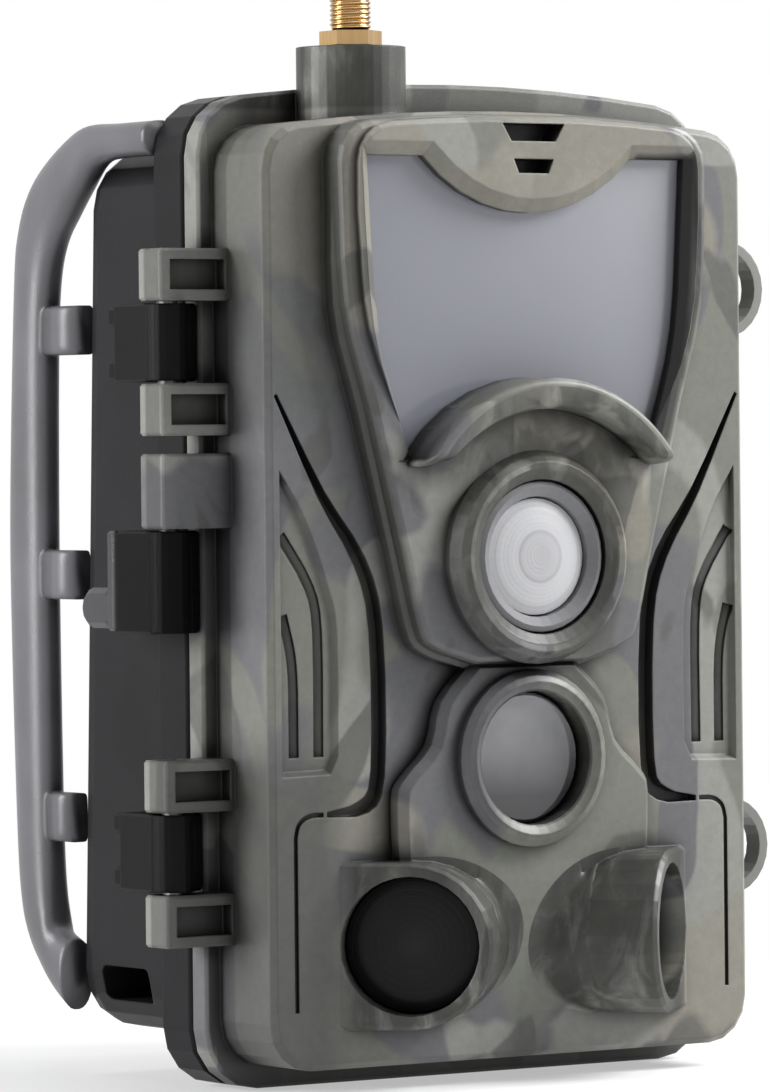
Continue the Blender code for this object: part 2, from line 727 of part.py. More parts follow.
def bezel_forms():
    """The turned rings round the motion sensor and the camera window."""
    pir_foot = BODY_RISE - SINK
    pir = [(PIR_BORE - SINK, pir_foot), (PIR_BEZEL_RADIUS, pir_foot),
           (PIR_BEZEL_RADIUS, BODY_RISE + BEZEL_SIDE),
           (PIR_BEZEL_RADIUS - BEZEL_SHOULDER / 2, PIR_BEZEL_RISE - BEZEL_SHOULDER / 2),
           (PIR_BEZEL_RADIUS - BEZEL_SHOULDER, PIR_BEZEL_RISE),
           (PIR_BORE + BEZEL_LIP, PIR_BEZEL_RISE - EDGE_FINE),
           (PIR_BORE - SINK, PIR_BEZEL_RISE - BEZEL_SHOULDER)]
    lens_foot = FOOT_RISE - SINK
    lens = [(LENS_BORE - SINK, lens_foot), (LENS_BEZEL_RADIUS, lens_foot),
            (LENS_BEZEL_RADIUS, FOOT_RISE + BEZEL_SIDE),
            (LENS_BEZEL_RADIUS - BEZEL_SHOULDER / 2, LENS_BEZEL_RISE - EDGE_SMALL),
            (LENS_BEZEL_RADIUS - BEZEL_SHOULDER, LENS_BEZEL_RISE),
            (LENS_BORE - SINK, LENS_BEZEL_RISE - BEZEL_SIDE)]
    return [turned("pir_bezel", pir, (0.0, FACE_Y, PIR_Z), 44),
            turned("lens_bezel", lens, (0.0, FACE_Y, LENS_Z), 40)]


def pod_pose(side):
    """A side sensor's own axes: Z runs out of its mouth, Y is up."""
    out = Vector((side * math.sin(POD_ANGLE), -math.cos(POD_ANGLE), 0.0))
    up = Vector((0.0, 0.0, 1.0))
    across = up.cross(out)
    mouth = Vector((side * POD_X, FACE_Y - POD_FORWARD, POD_Z))
    return Matrix.Translation(mouth) @ Matrix((across, up, out)).transposed().to_4x4()


def pod_outline(side, corner=0.0022):
    """Round towards the middle of the face, square towards its edge."""
    flat = POD_HALF - corner
    outline = (arc((flat, -flat), corner, -90, 0, 4) + arc((flat, flat), corner, 0, 90, 4)
               + arc((0.0, 0.0), POD_HALF, 90, 270, 15))
    return sided(outline, side)


def along_pod(side, forward):
    return pod_pose(side) @ Vector((0.0, 0.0, forward))


def hinge_lugs():
    """Height ranges of the four hinge lugs of the front half."""
    ranges = []
    for middle in HINGE_ZS:
        start = KNUCKLE_HEIGHT / 2
        ranges.append((middle + start, middle + start + LUG_HEIGHT))
        ranges.append((middle - start - LUG_HEIGHT, middle - start))
    return ranges


def lug_form(low, high):
    lug = box("lug", (HINGE_X - LUG_RADIUS, HINGE_Y - LUG_FRONT, low),
              (-FACE_HALF + SINK, HINGE_Y + LUG_RADIUS / 2, high), EDGE_SMALL, 1)
    return fuse(lug, cylinder("lug_round", LUG_RADIUS - GAP / 3, (HINGE_X, HINGE_Y, low + GAP / 3),
                              (HINGE_X, HINGE_Y, high - GAP / 3)))


def lug_core(low, high):
    """The pocket moulded into the front of a lug between its two ribs."""
    front = HINGE_Y - LUG_FRONT
    return box("lug_core", (HINGE_X - LUG_RADIUS + LUG_RIB, front - REACH, low + LUG_RIB),
               (-FACE_HALF - LUG_RIB / 2, front + LUG_CORE_DEPTH, high - LUG_RIB))


def axis_bore(name, place, radius, low, high):
    return cylinder(name, radius, (place[0], place[1], low), (place[0], place[1], high), 14)


def eye_form(front, back):
    """A padlock eye that stands out of the rim on the latch side."""
    outline = ([(RIM_HALF - WALL, EYE_Z - EYE_RADIUS)] + arc((EYE_X, EYE_Z), EYE_RADIUS, -90, 90, 11)
               + [(RIM_HALF - WALL, EYE_Z + EYE_RADIUS)])
    return front_plate("eye", outline, front, back, EDGE_FINE)


def eye_hole():
    return cylinder("eye_hole", EYE_HOLE, (EYE_X, RIM_Y - REACH, EYE_Z),
                    (EYE_X, REAR_RIM_Y + REACH, EYE_Z), 24)


def front_shell():
    face = case_outline(FACE_HALF, FACE_STEP_BOTTOM, FACE_TOP, FACE_CORNER)
    shell = front_plate("front_shell", face, FACE_Y, RIM_Y + FRONT_RIM_DEPTH / 2, FACE_ROUND)
    rim = case_outline(RIM_HALF, 0.0, CASE_HEIGHT, RIM_CORNER)
    fuse(shell, front_plate("rim", rim, RIM_Y, FRONT_SEAM_Y, EDGE_MEDIUM))
    cut_arms(shell)
    for side in (1, -1):
        fuse(shell, plate("pod", [pod_outline(side)], -POD_LENGTH, 0.0, pod_pose(side), EDGE_MOULD))
    fuse(shell, *face_forms())
    fuse(shell, hood_form(), *bezel_forms())
    fuse(shell,
         cylinder("antenna_base", ANTENNA_RADIUS, (ANTENNA_X, FACE_Y + ANTENNA_BACK, FACE_TOP - WALL),
                         (ANTENNA_X, FACE_Y + ANTENNA_BACK, ANTENNA_TOP), 36))
    lugs = hinge_lugs()
    fuse(shell, *[lug_form(low, high) for low, high in lugs], lug_form(KEEPER_LOW, KEEPER_HIGH))
    fuse(shell, eye_form(RIM_Y + GAP, FRONT_SEAM_Y - GAP))
    cavity = case_outline(CAVITY_HALF, FACE_STEP_BOTTOM + WALL, FACE_TOP - WALL, FACE_CORNER - WALL / 2)
    cut(shell, front_plate("cavity", cavity, CAVITY_Y, FRONT_SEAM_Y + REACH))
    for x in SCREW_XS:
        for z in SCREW_ZS:
            fuse(shell, cylinder("boss", BOSS_RADIUS, (x, CAVITY_Y - SINK, z), (x, BOARD_Y - GAP, z), 12))
            cut(shell,
                cylinder("boss_hole", SCREW_RADIUS + GAP, (x, CAVITY_Y + GAP, z), (x, BOARD_Y + REACH, z),
                         10))
    cut(shell, *[lug_core(low, high) for low, high in lugs])
    for low, high in lugs:
        cut(shell,
            axis_bore("pin_bore", (HINGE_X, HINGE_Y), PIN_RADIUS + GAP, low - REACH / 2, high + REACH / 2))
    cut(shell, axis_bore("keeper_bore", (HINGE_X, HINGE_Y), BOLT_RADIUS + GAP, KEEPER_LOW - REACH,
                         KEEPER_LOW + BOLT_ENGAGE + 2 * GAP))
    cut_openings(shell)
    return shell


def cut_openings(shell):
    """Open the window, the sensors, the chin slots, the padlock eye and the coax jack's hole."""
    cut(shell,
        cylinder("pir_bore", PIR_BORE, (0, FACE_Y - HOOD_RISE - REACH, PIR_Z),
                 (0, CAVITY_Y + REACH, PIR_Z), 44))
    seat = FACE_Y - LENS_SEAT_RISE
    cut(shell, cylinder("lens_bore", LENS_BORE, (0, FACE_Y - HOOD_RISE, LENS_Z), (0, seat, LENS_Z), 40))
    cut(shell, cylinder("lens_throat", CAMERA_BARREL + 3 * GAP, (0, FACE_Y - HOOD_RISE, LENS_Z),
                        (0, CAVITY_Y + REACH, LENS_Z), 32))
    for side in (1, -1):
        cut(shell, cylinder("pod_bore", POD_BORE, along_pod(side, REACH),
                            along_pod(side, -POD_LENGTH - SINK), 32))
    for (top_half, top), (low_half, low) in CHIN_SLOTS:
        slot = [(-low_half, low), (low_half, low), (top_half, top), (-top_half, top)]
        cut(shell, front_plate("chin_slot", slot, FRAME_Y - REACH, FRAME_Y + CHIN_SLOT_DEPTH))
    jack_y = FACE_Y + ANTENNA_BACK
    cut(shell, cylinder("jack_hole", JACK_THREAD + GAP, (ANTENNA_X, jack_y, FACE_TOP - REACH - WALL),
                        (ANTENNA_X, jack_y, ANTENNA_TOP + REACH), 24))
    cut(shell, eye_hole())
    window = window_outline()
    cut(shell, loft("window_hole", [(window_flare(WINDOW_BEVEL * 1.5), FRAME_Y - WINDOW_BEVEL_DEPTH / 2),
                                    (window, FRAME_Y + WINDOW_BEVEL_DEPTH), (window, CAVITY_Y + REACH)]))
    cut(shell,
        front_plate("window_seat", offset(window, WINDOW_LAP + GAP), WINDOW_Y - GAP, CAVITY_Y + REACH))


# Pieces on the front of the front half
def led_window():
    outline = offset(window_outline(), WINDOW_LAP)
    return front_plate("led_window", outline, WINDOW_Y, WINDOW_Y + WINDOW_THICK)


def led_board():
    """The emitter board, with a staggered field of round emitters under the window."""
    front = WINDOW_Y + WINDOW_THICK + EMITTER_HEIGHT + 2 * GAP
    board = front_plate("led_board", offset(window_outline(), WINDOW_LAP), front, front + BOARD_THICK)
    for row, count in enumerate(EMITTER_ROWS):
        z = EMITTER_TOP_Z - row * EMITTER_PITCH
        for column in range(count):
            x = (column - (count - 1) / 2) * EMITTER_PITCH
            if abs(x) < NOTCH_HALF and row == 0:
                continue
            fuse(board, cylinder("emitter", EMITTER_RADIUS, (x, front + SINK, z),
                                 (x, front - EMITTER_HEIGHT, z), 8, EMITTER_RADIUS * 0.7))
    return board


def pir_ring():
    outer, inner = PIR_BORE - GAP, PIR_LENS_RADIUS + GAP
    profile = [(inner, PIR_FLANGE), (outer, PIR_FLANGE), (outer, PIR_RING_RISE - EDGE_SMALL),
               (outer - 2 * EDGE_SMALL, PIR_RING_RISE), (inner, PIR_RING_RISE - PIR_FLANGE)]
    return turned("pir_ring", profile, (0.0, FACE_Y, PIR_Z))


def pir_lens():
    """A stepped Fresnel dome with a flange behind its ring."""
    radius, flange = PIR_LENS_RADIUS, PIR_BORE - GAP
    shares = (1.0, 0.8, 0.6, 0.4, 0.2, 0.0)
    steps = [(radius * share, PIR_LENS_RISE + PIR_LENS_DOME * (1 - share ** 2)) for share in shares]
    foot, shoulder = -EDGE_SMALL, PIR_FLANGE - GAP
    front = [(flange, foot), (flange, shoulder), (radius, shoulder)] + steps
    inside = radius - PIR_LENS_THICK
    back = [(0.0, PIR_LENS_RISE + EDGE_SMALL), (inside, PIR_LENS_RISE - PIR_LENS_THICK), (inside, foot)]
    return turned("pir_lens", front + back, (0.0, FACE_Y, PIR_Z))


def sensor_profile(height, base):
    """A metal sensor can on a wider base, from its window back to its board."""
    brim = SENSOR_CAN + SENSOR_BRIM
    foot = base - SENSOR_BRIM_THICK
    return [(0.0, height), (SENSOR_CAN - EDGE_MEDIUM, height), (SENSOR_CAN, height - EDGE_MEDIUM),
            (SENSOR_CAN, base), (brim, base), (brim, foot), (0.0, foot)][::-1]


def pir_sensor():
    base = -BOARD_BACK + GAP + SENSOR_BRIM_THICK
    return turned("pir_sensor", sensor_profile(base + SENSOR_HEIGHT, base), (0.0, FACE_Y, PIR_Z), 16)


def lens_glass():
    back = LENS_SEAT_RISE + GAP
    radius = LENS_BORE - GAP
    profile = [(0.0, back), (radius, back), (radius, back + LENS_GLASS_THICK - EDGE_SMALL),
               (radius - EDGE_SMALL, back + LENS_GLASS_THICK),
               (0.0, back + LENS_GLASS_THICK)]
    return turned("lens_glass", profile, (0.0, FACE_Y, LENS_Z))


def camera_module():
    """Lens barrel with its stepped front ring and the square holder that stands on the main board."""
    foot = -BOARD_BACK + GAP
    throat = LENS_SEAT_RISE - GAP
    step = foot + HOLDER_DEPTH - SINK
    profile = [(0.0, step), (CAMERA_BARREL, step), (CAMERA_BARREL, throat - EDGE_MOULD),
               (CAMERA_BARREL - EDGE_MOULD, throat), (CAMERA_MOUTH, throat),
               (CAMERA_EYE, throat - CAMERA_DISH), (0.0, throat - CAMERA_DISH + EDGE_MOULD)]
    module = turned("camera_module", profile, (0.0, FACE_Y, LENS_Z), 32)
    half = CAMERA_BARREL + HOLDER_BORDER
    return fuse(module, box("holder", (-half, FACE_Y - foot - HOLDER_DEPTH, LENS_Z - half),
                            (half, FACE_Y - foot, LENS_Z + half), EDGE_MEDIUM, 1))


def side_lens(name, side):
    """The dark Fresnel disc inside a pod, slightly domed."""
    radius, back = POD_BORE - GAP, -POD_LENS_SET - POD_LENS_THICK
    profile = [(0.0, back), (radius, back), (radius, -POD_LENS_SET),
               (radius * 0.7, POD_LENS_DOME * 0.6 - POD_LENS_SET),
               (radius * 0.35, POD_LENS_DOME * 0.9 - POD_LENS_SET), (0.0, POD_LENS_DOME - POD_LENS_SET)]
    return aim_at_pod(turned(name, profile, (0.0, 0.0, 0.0), 32), side)


def side_sensor(name, side):
    top = -POD_LENS_SET - POD_LENS_THICK - GAP
    return aim_at_pod(turned(name, sensor_profile(top, top - SIDE_SENSOR_HEIGHT), (0.0, 0.0, 0.0), 14), side)


def aim_at_pod(item, side):
    """Carry a turned piece, which faces -Y, onto a pod's axis."""
    item.data.transform(pod_pose(side) @ FACING.inverted())
    return item


def coax_jack():
    """Gold jack with a plain thread, a hollow mouth and its hexagon nut's seat on the antenna base."""
    place = (ANTENNA_X, FACE_Y + ANTENNA_BACK)
    top = ANTENNA_TOP + JACK_LENGTH
    jack = axis_bore("coax_jack", place, JACK_THREAD, FACE_TOP - WALL, top)
    return cut(jack, axis_bore("mouth", place, JACK_BORE, top - JACK_LENGTH / 2, top + REACH))


def jack_nut():
    place = (ANTENNA_X, FACE_Y + ANTENNA_BACK)
    low = ANTENNA_TOP + GAP
    nut = cylinder("jack_nut", JACK_NUT_ACROSS / math.sqrt(3), (*place, low),
                   (*place, low + JACK_NUT_THICK), 6)
    return cut(nut,
               axis_bore("nut_bore", place, JACK_THREAD + GAP, low - REACH, low + JACK_NUT_THICK + REACH))


# Pieces inside the front half
def screw_places():
    return [(x, z) for x in SCREW_XS for z in SCREW_ZS]


def drill(item, places, radius, front, back):
    for x, z in places:
        cut(item, cylinder("drill", radius, (x, front - REACH, z), (x, back + REACH, z), 10))
    return item


def main_board():
    outline = case_outline(CAVITY_HALF, FACE_STEP_BOTTOM + WALL, FACE_TOP - WALL, FACE_CORNER - WALL / 2,
                           2 * GAP)
    board = front_plate("main_board", outline, BOARD_Y, BOARD_Y + BOARD_THICK)
    return drill(board, screw_places(), SCREW_RADIUS + GAP, BOARD_Y, BOARD_Y + BOARD_THICK)


def inner_panel():
    """The cover over the board, open for the screen, the keys, the switch and the speaker."""
    outline = case_outline(CAVITY_HALF, FACE_STEP_BOTTOM + WALL, FACE_TOP - WALL, FACE_CORNER - WALL / 2,
                           GAP)
    back = PANEL_Y + PANEL_THICK
    panel = front_plate("inner_panel", outline, PANEL_Y, back, EDGE_FINE)
    drill(panel, screw_places(), SCREW_RADIUS + GAP, PANEL_Y, back)
    drill(panel, button_places().values(), BUTTON_RADIUS + GAP, PANEL_Y, back)
    half, tall = SCREEN_WIDTH / 2 + GAP, SCREEN_HEIGHT / 2 + GAP
    cut(panel,
        box("screen_hole", (-half, PANEL_Y - REACH, SCREEN_Z - tall),
            (half, back + REACH, SCREEN_Z + tall)))
    half, tall = SWITCH_KNOB / 2 + GAP, SWITCH_KNOB / 2 + SWITCH_TRAVEL + GAP
    cut(panel, box("switch_hole", (SWITCH_X - half, PANEL_Y - REACH, BUTTON_Z - tall),
                   (SWITCH_X + half, back + REACH, BUTTON_Z + tall)))
    holes = [(SPEAKER_X, BUTTON_Z)] + [(SPEAKER_X + x, BUTTON_Z + z)
                                       for x, z in arc((0.0, 0.0), SPEAKER_RADIUS * 0.6, 0, 300, 6)]
    return drill(panel, holes, SPEAKER_RADIUS * 0.16, PANEL_Y, back)


def screen():
    """Display module: a glass over a thicker body that stands on the main board."""
    front = BOARD_Y + BOARD_THICK + GAP
    half, tall = SCREEN_WIDTH / 2, SCREEN_HEIGHT / 2
    return box("screen", (-half, front, SCREEN_Z - tall),
               (half, PANEL_Y + PANEL_THICK - GAP, SCREEN_Z + tall),
               EDGE_SMALL, 1)


def speaker():
    front = -(BOARD_BACK + BOARD_THICK + GAP)
    back = -(PANEL_BACK - GAP)
    profile = [(0.0, back), (SPEAKER_RADIUS * 0.8, back), (SPEAKER_RADIUS, back + 2 * EDGE_SMALL),
               (SPEAKER_RADIUS, front),
               (0.0, front)]
    return turned("speaker", profile, (SPEAKER_X, FACE_Y, BUTTON_Z), 16)


def panel_screw(name, x, z):
    """Pan-head screw from the panel through the board into its boss."""
    head = -(PANEL_BACK + PANEL_THICK + GAP)
    tip = -(GROOVE_DEPTH + WALL + 2 * EDGE_SMALL)
    profile = [(0.0, head - SCREW_DOME), (SCREW_HEAD * 0.6, head - SCREW_DOME),
               (SCREW_HEAD, head - SCREW_DOME / 2), (SCREW_HEAD, head), (SCREW_RADIUS, head),
               (SCREW_RADIUS, tip - EDGE_SMALL), (0.0, tip)]
    return turned(name, profile, (x, FACE_Y, z), 12)


def button_places():
    step = BUTTON_PITCH
    return {"key_ok": (0.0, BUTTON_Z), "key_up": (0.0, BUTTON_Z + step), "key_down": (0.0, BUTTON_Z - step),
            "key_left": (-step, BUTTON_Z), "key_right": (step, BUTTON_Z)}


def button(name, x, z):
    """A key cap with a collar that the panel keeps in."""
    foot = -(BOARD_BACK + BOARD_THICK + GAP + BUTTON_TRAVEL)
    panel = -PANEL_BACK
    top = panel - PANEL_THICK - BUTTON_PROUD
    collar = BUTTON_RADIUS + 3 * GAP
    profile = [(0.0, top), (BUTTON_RADIUS * 0.7, top), (BUTTON_RADIUS, top + EDGE_MEDIUM),
               (BUTTON_RADIUS, panel + GAP),
               (collar, panel + GAP), (collar, panel + 3 * GAP), (BUTTON_RADIUS * 0.6, panel + 3 * GAP),
               (BUTTON_RADIUS * 0.6, foot), (0.0, foot)]
    return turned(name, profile, (x, FACE_Y, z), 14)


def mode_switch():
    """A knob on a carriage that slides up and down under the panel."""
    half = SWITCH_KNOB / 2
    front = BOARD_Y + BOARD_THICK + GAP
    knob = box("mode_switch", (SWITCH_X - half, front + SINK, BUTTON_Z - half),
               (SWITCH_X + half, PANEL_Y + PANEL_THICK + BUTTON_PROUD, BUTTON_Z + half), EDGE_SMALL, 1)
    wide = half + SWITCH_BRIM
    return fuse(knob, box("carriage", (SWITCH_X - wide, front, BUTTON_Z - wide),
                          (SWITCH_X + wide, PANEL_Y - GAP, BUTTON_Z + wide), EDGE_FINE, 1))


# Rear half
def knuckle_form(name, low, high, depth):
    """A block that reaches from the rim's side round the front of the seam to the hinge axis."""
    left = HINGE_X - KNUCKLE_RADIUS
    back = REAR_SEAM_Y + depth
    block = box(name, (left, HINGE_Y, low), (-RIM_HALF - GAP, back, high), EDGE_SMALL, 1)
    inset = GAP / 3
    return fuse(block, cylinder("barrel", KNUCKLE_RADIUS - inset, (HINGE_X, HINGE_Y, low + inset),
                                (HINGE_X, HINGE_Y, high - inset)))


def rear_knuckles(case):
    for middle in HINGE_ZS:
        low, high = middle - KNUCKLE_HEIGHT / 2 + GAP, middle + KNUCKLE_HEIGHT / 2 - GAP
        left = HINGE_X - KNUCKLE_RADIUS
        fuse(case, box("arm", (left + 2 * GAP, REAR_SEAM_Y + GAP, low + GAP),
                       (-RIM_HALF + SINK, REAR_SEAM_Y + KNUCKLE_DEPTH - GAP, high - GAP)))
        fuse(case, knuckle_form("knuckle", low, high, KNUCKLE_DEPTH))
        for foot in (low + GAP, high - GAP - GUSSET_THICK):
            fuse(case, box("gusset", (left + LUG_RIB, REAR_SEAM_Y + KNUCKLE_DEPTH - SINK, foot),
                           (-RIM_HALF + REAR_INSET + SINK, REAR_SEAM_Y + KNUCKLE_DEPTH + GUSSET_REACH,
                            foot + GUSSET_THICK), EDGE_MEDIUM, 1))
        cut(case, axis_bore("pin_bore", (HINGE_X, HINGE_Y), PIN_RADIUS + GAP, low - REACH, high + REACH))


def latch_ears(case):
    for middle in LATCH_ZS:
        start = LATCH_HEIGHT / 2 + GAP
        for low in (middle + start, middle - start - EAR_THICK):
            ear = box("ear", (RIM_HALF - SINK, LATCH_Y - LATCH_BARREL, low),
                      (LATCH_X, LATCH_Y + LATCH_BARREL, low + EAR_THICK))
            fuse(ear, cylinder("ear_round", LATCH_BARREL + GAP / 3, (LATCH_X, LATCH_Y, low + GAP / 3),
                               (LATCH_X, LATCH_Y, low + EAR_THICK - GAP / 3), 20))
            fuse(case, ear)
        cut(case, axis_bore("latch_bore", (LATCH_X, LATCH_Y), LATCH_PIN + GAP, middle - start - 2 * EAR_THICK,
                            middle + start + 2 * EAR_THICK))


def gasket_ring(name, front, back, margin):
    """A ring that follows the rim, either the groove or the seal in it."""
    middle = GASKET_INSET
    outer = case_outline(RIM_HALF, 0.0, CASE_HEIGHT, RIM_CORNER, middle - GASKET_WIDTH / 2 - margin)
    inner = case_outline(RIM_HALF, 0.0, CASE_HEIGHT, RIM_CORNER, middle + GASKET_WIDTH / 2 + margin)
    return front_plate(name, outer, front, back, hole=inner)


def rear_case():
    rim = case_outline(RIM_HALF, 0.0, CASE_HEIGHT, RIM_CORNER)
    case = front_plate("rear_case", rim, REAR_SEAM_Y, REAR_RIM_Y, EDGE_MEDIUM)
    body = case_outline(REAR_HALF, REAR_BOTTOM, REAR_TOP, REAR_CORNER)
    fuse(case, lean_back(front_plate("body", body, REAR_RIM_Y - REAR_RIM_DEPTH / 2, BACK_Y, REAR_EDGE, 3)))
    boss = rounded_box((-BOSS_HALF_WIDTH, REAR_RIM_Y - WALL), (BOSS_HALF_WIDTH, REAR_RIM_Y + BOSS_DEPTH),
                       0.004)
    fuse(case, plate("tripod_boss", [boss], 0.0, REAR_BOTTOM + WALL, ACROSS, EDGE_SMALL))
    rear_knuckles(case)
    latch_ears(case)
    fuse(case, eye_form(REAR_SEAM_Y + GAP, REAR_SEAM_Y + FRONT_RIM_DEPTH - GAP))
    cut(case, eye_hole())
    bay = case_outline(REAR_HALF - WALL, BAY_LOW, REAR_TOP - WALL, REAR_CORNER - WALL)
    cut(case, front_plate("bay", bay, REAR_SEAM_Y - REACH, BACK_Y - WALL))
    slot = rounded_box((BACK_Y - WALL - CABLE_SLOT_DEPTH, CABLE_SLOT_LOW),
                       (BACK_Y - WALL, CABLE_SLOT_LOW + CABLE_SLOT_HEIGHT), 0.0012)
    cut(case, plate("cable_slot", [slot], -RIM_HALF - REACH, RIM_HALF + REACH, SIDEWAYS))
    cut(case, axis_bore("insert_hole", (0.0, TRIPOD_Y), TRIPOD_RADIUS + GAP, -REACH, TRIPOD_DEPTH + GAP))
    cut(case, gasket_ring("groove", REAR_SEAM_Y - REACH, REAR_SEAM_Y + GASKET_DEPTH + 2 * GAP, GAP))
    return case


def gasket():
    return gasket_ring("gasket", REAR_SEAM_Y + GAP, REAR_SEAM_Y + GAP + GASKET_DEPTH, 0.0)


def tripod_insert():
    insert = axis_bore("tripod_insert", (0.0, TRIPOD_Y), TRIPOD_RADIUS, GAP, TRIPOD_DEPTH)
    return cut(insert,
               axis_bore("thread", (0.0, TRIPOD_Y), TRIPOD_THREAD, -REACH, TRIPOD_DEPTH - TRAY_WALL))


def back_at(z):
    """Place of the case's leaning back at a height."""
    return BACK_Y + BACK_LEAN * (REAR_TOP - z)


def lean_back(item):
    """Lean the back of the rear case: its depth grows from the top to the foot."""
    for vertex in item.data.vertices:
        share = max(0.0, (vertex.co.y - REAR_RIM_Y) / (BACK_Y - REAR_RIM_Y))
        vertex.co.y += share * (back_at(vertex.co.z) - BACK_Y)
    return item


def strap_rail(name, side):
    """A bow of rounded section behind one side of the case, with three ribs that reach the case."""
    arm, top = REAR_RIM_Y + GAP, RAIL_HIGH - RAIL_TOP_THICK
    foot = RAIL_LOW + RAIL_FOOT
    outer = [(FACE_Y + y, z) for y, z in RAIL_OUTER]
    inner = [(FACE_Y + y, z) for y, z in RAIL_INNER]
    path = [(arm, RAIL_HIGH)] + smooth(outer, 3) + [(back_at(RAIL_LOW) + GAP, RAIL_LOW)]
    path += [(back_at(foot) + GAP, foot)] + smooth(inner, 3) + [(BACK_Y - REAR_EDGE, top), (arm, top)]
    middle = side * (RIM_HALF + RAIL_OUT - RAIL_THICK / 2)
    rail = plate(name, [path[::-1]], middle - RAIL_THICK / 2, middle + RAIL_THICK / 2, SIDEWAYS, RAIL_ROUND, 2)
    bow = FACE_Y + RAIL_INNER[len(RAIL_INNER) // 2][0]
    for z in RIB_ZS:
        low, high = z - RIB_HEIGHT / 2, z + RIB_HEIGHT / 2
        fuse(rail, box("rib", (middle - RIB_THICK / 2, back_at(low) + GAP, low),
                       (middle + RIB_THICK / 2, bow + RAIL_ROUND + SINK, high), EDGE_MEDIUM, 1))
    return rail


def tray_columns():
    return [(column - (CELL_COLUMNS - 1) / 2) * CELL_PITCH for column in range(CELL_COLUMNS)]


def tray_rows():
    """Bottom of each row's space for cells."""
    return [TRAY_LOW + TRAY_WALL, TRAY_LOW + 2 * TRAY_WALL + TRAY_ROW]


def battery_tray():
    """A tray with two rows of cradles."""
    half = CELL_COLUMNS * CELL_PITCH / 2
    tray = box("battery_tray", (-half - TRAY_WALL, TRAY_BACK_Y - TRAY_DEPTH, TRAY_LOW),
               (half + TRAY_WALL, TRAY_BACK_Y, TRAY_HIGH), EDGE_SMALL, 1)
    for low in tray_rows():
        cut(tray, box("row", (-half, TRAY_BACK_Y - TRAY_DEPTH - REACH, low),
                      (half, CELL_Y, low + TRAY_ROW)))
        for x in tray_columns():
            cut(tray, cylinder("cradle", CELL_RADIUS + GAP, (x, CELL_Y, low), (x, CELL_Y, low + TRAY_ROW), 16))
    return tray


def cell(name, x, low):
    """A round power cell with its raised contact."""
    foot = low + CONTACT_THICK + SPRING_HEIGHT + 2 * GAP
    top = foot + CELL_LENGTH
    body = cylinder(name, CELL_RADIUS, (x, CELL_Y, foot), (x, CELL_Y, top - CELL_TIP), 16)
    return fuse(body,
                cylinder("contact", CELL_RADIUS * 0.38, (x, CELL_Y, top - 2 * CELL_TIP), (x, CELL_Y, top), 10))


def contact_strip(name, low, springs):
    """A metal strip at the end of a row, plain or with a conical spring under each cell."""
    half = CELL_COLUMNS * CELL_PITCH / 2 - GAP
    front = CELL_Y - CELL_RADIUS * 0.8
    strip = box(name, (-half, front, low), (half, CELL_Y - GAP, low + CONTACT_THICK))
    if springs:
        for x in tray_columns():
            place = (x, CELL_Y - CELL_RADIUS * 0.4)
            fuse(strip, cylinder("spring", SPRING_RADIUS, (*place, low + CONTACT_THICK / 2),
                                 (*place, low + CONTACT_THICK + SPRING_HEIGHT), 10, SPRING_RADIUS * 0.6))
    return strip


def hinge_pin(name, middle):
    reach = KNUCKLE_HEIGHT / 2 + LUG_HEIGHT - GAP
    return axis_bore(name, (HINGE_X, HINGE_Y), PIN_RADIUS, middle - reach, middle + reach)


def latch_pin(name, middle):
    reach = LATCH_HEIGHT / 2 + EAR_THICK
    return axis_bore(name, (LATCH_X, LATCH_Y), LATCH_PIN, middle - reach, middle + reach)


# Moving pieces on the sides
def lock_block():
    block = knuckle_form("lock_block", LOCK_LOW, LOCK_HIGH, KNUCKLE_DEPTH)
    cut(block,
        axis_bore("bolt_bore", (HINGE_X, HINGE_Y), BOLT_RADIUS + GAP, LOCK_LOW - REACH, LOCK_HIGH + REACH))
    half = STEM_HALF + GAP
    return cut(block, box("stem_slot", (HINGE_X - half, HINGE_Y, LOCK_LOW - REACH),
                          (HINGE_X + half, REAR_SEAM_Y + KNUCKLE_DEPTH + REACH,
                           LOCK_LOW + TAB_HEIGHT + 4 * GAP)))


def lock_slide():
    """The bolt, the plate behind the lock block and the thumb tab on it, in one piece."""
    low = LOCK_LOW + 2 * GAP
    bolt = axis_bore("lock_slide", (HINGE_X, HINGE_Y), BOLT_RADIUS, low, KEEPER_LOW + BOLT_ENGAGE)
    front = REAR_SEAM_Y + KNUCKLE_DEPTH + GAP
    fuse(bolt,
         box("stem", (HINGE_X - STEM_HALF, HINGE_Y, low),
             (HINGE_X + STEM_HALF, front + SINK, low + TAB_HEIGHT)))
    left = HINGE_X - KNUCKLE_RADIUS
    fuse(bolt,
         box("slide_plate", (left, front, low - GAP), (-RIM_HALF - 2 * GAP, front + SLIDE_THICK, LOCK_HIGH),
                   EDGE_SMALL, 1))
    tab = rounded_box((front + SLIDE_THICK - SINK, low),
                      (front + SLIDE_THICK + TAB_LENGTH, low + TAB_HEIGHT),
                      TAB_HEIGHT / 2 - GAP)
    tab = [(max(y, front + SLIDE_THICK - SINK), z) for y, z in tab]
    return fuse(bolt, plate("tab", [tab], HINGE_X - TAB_HALF, HINGE_X + TAB_HALF, SIDEWAYS, FACE_ROUND))


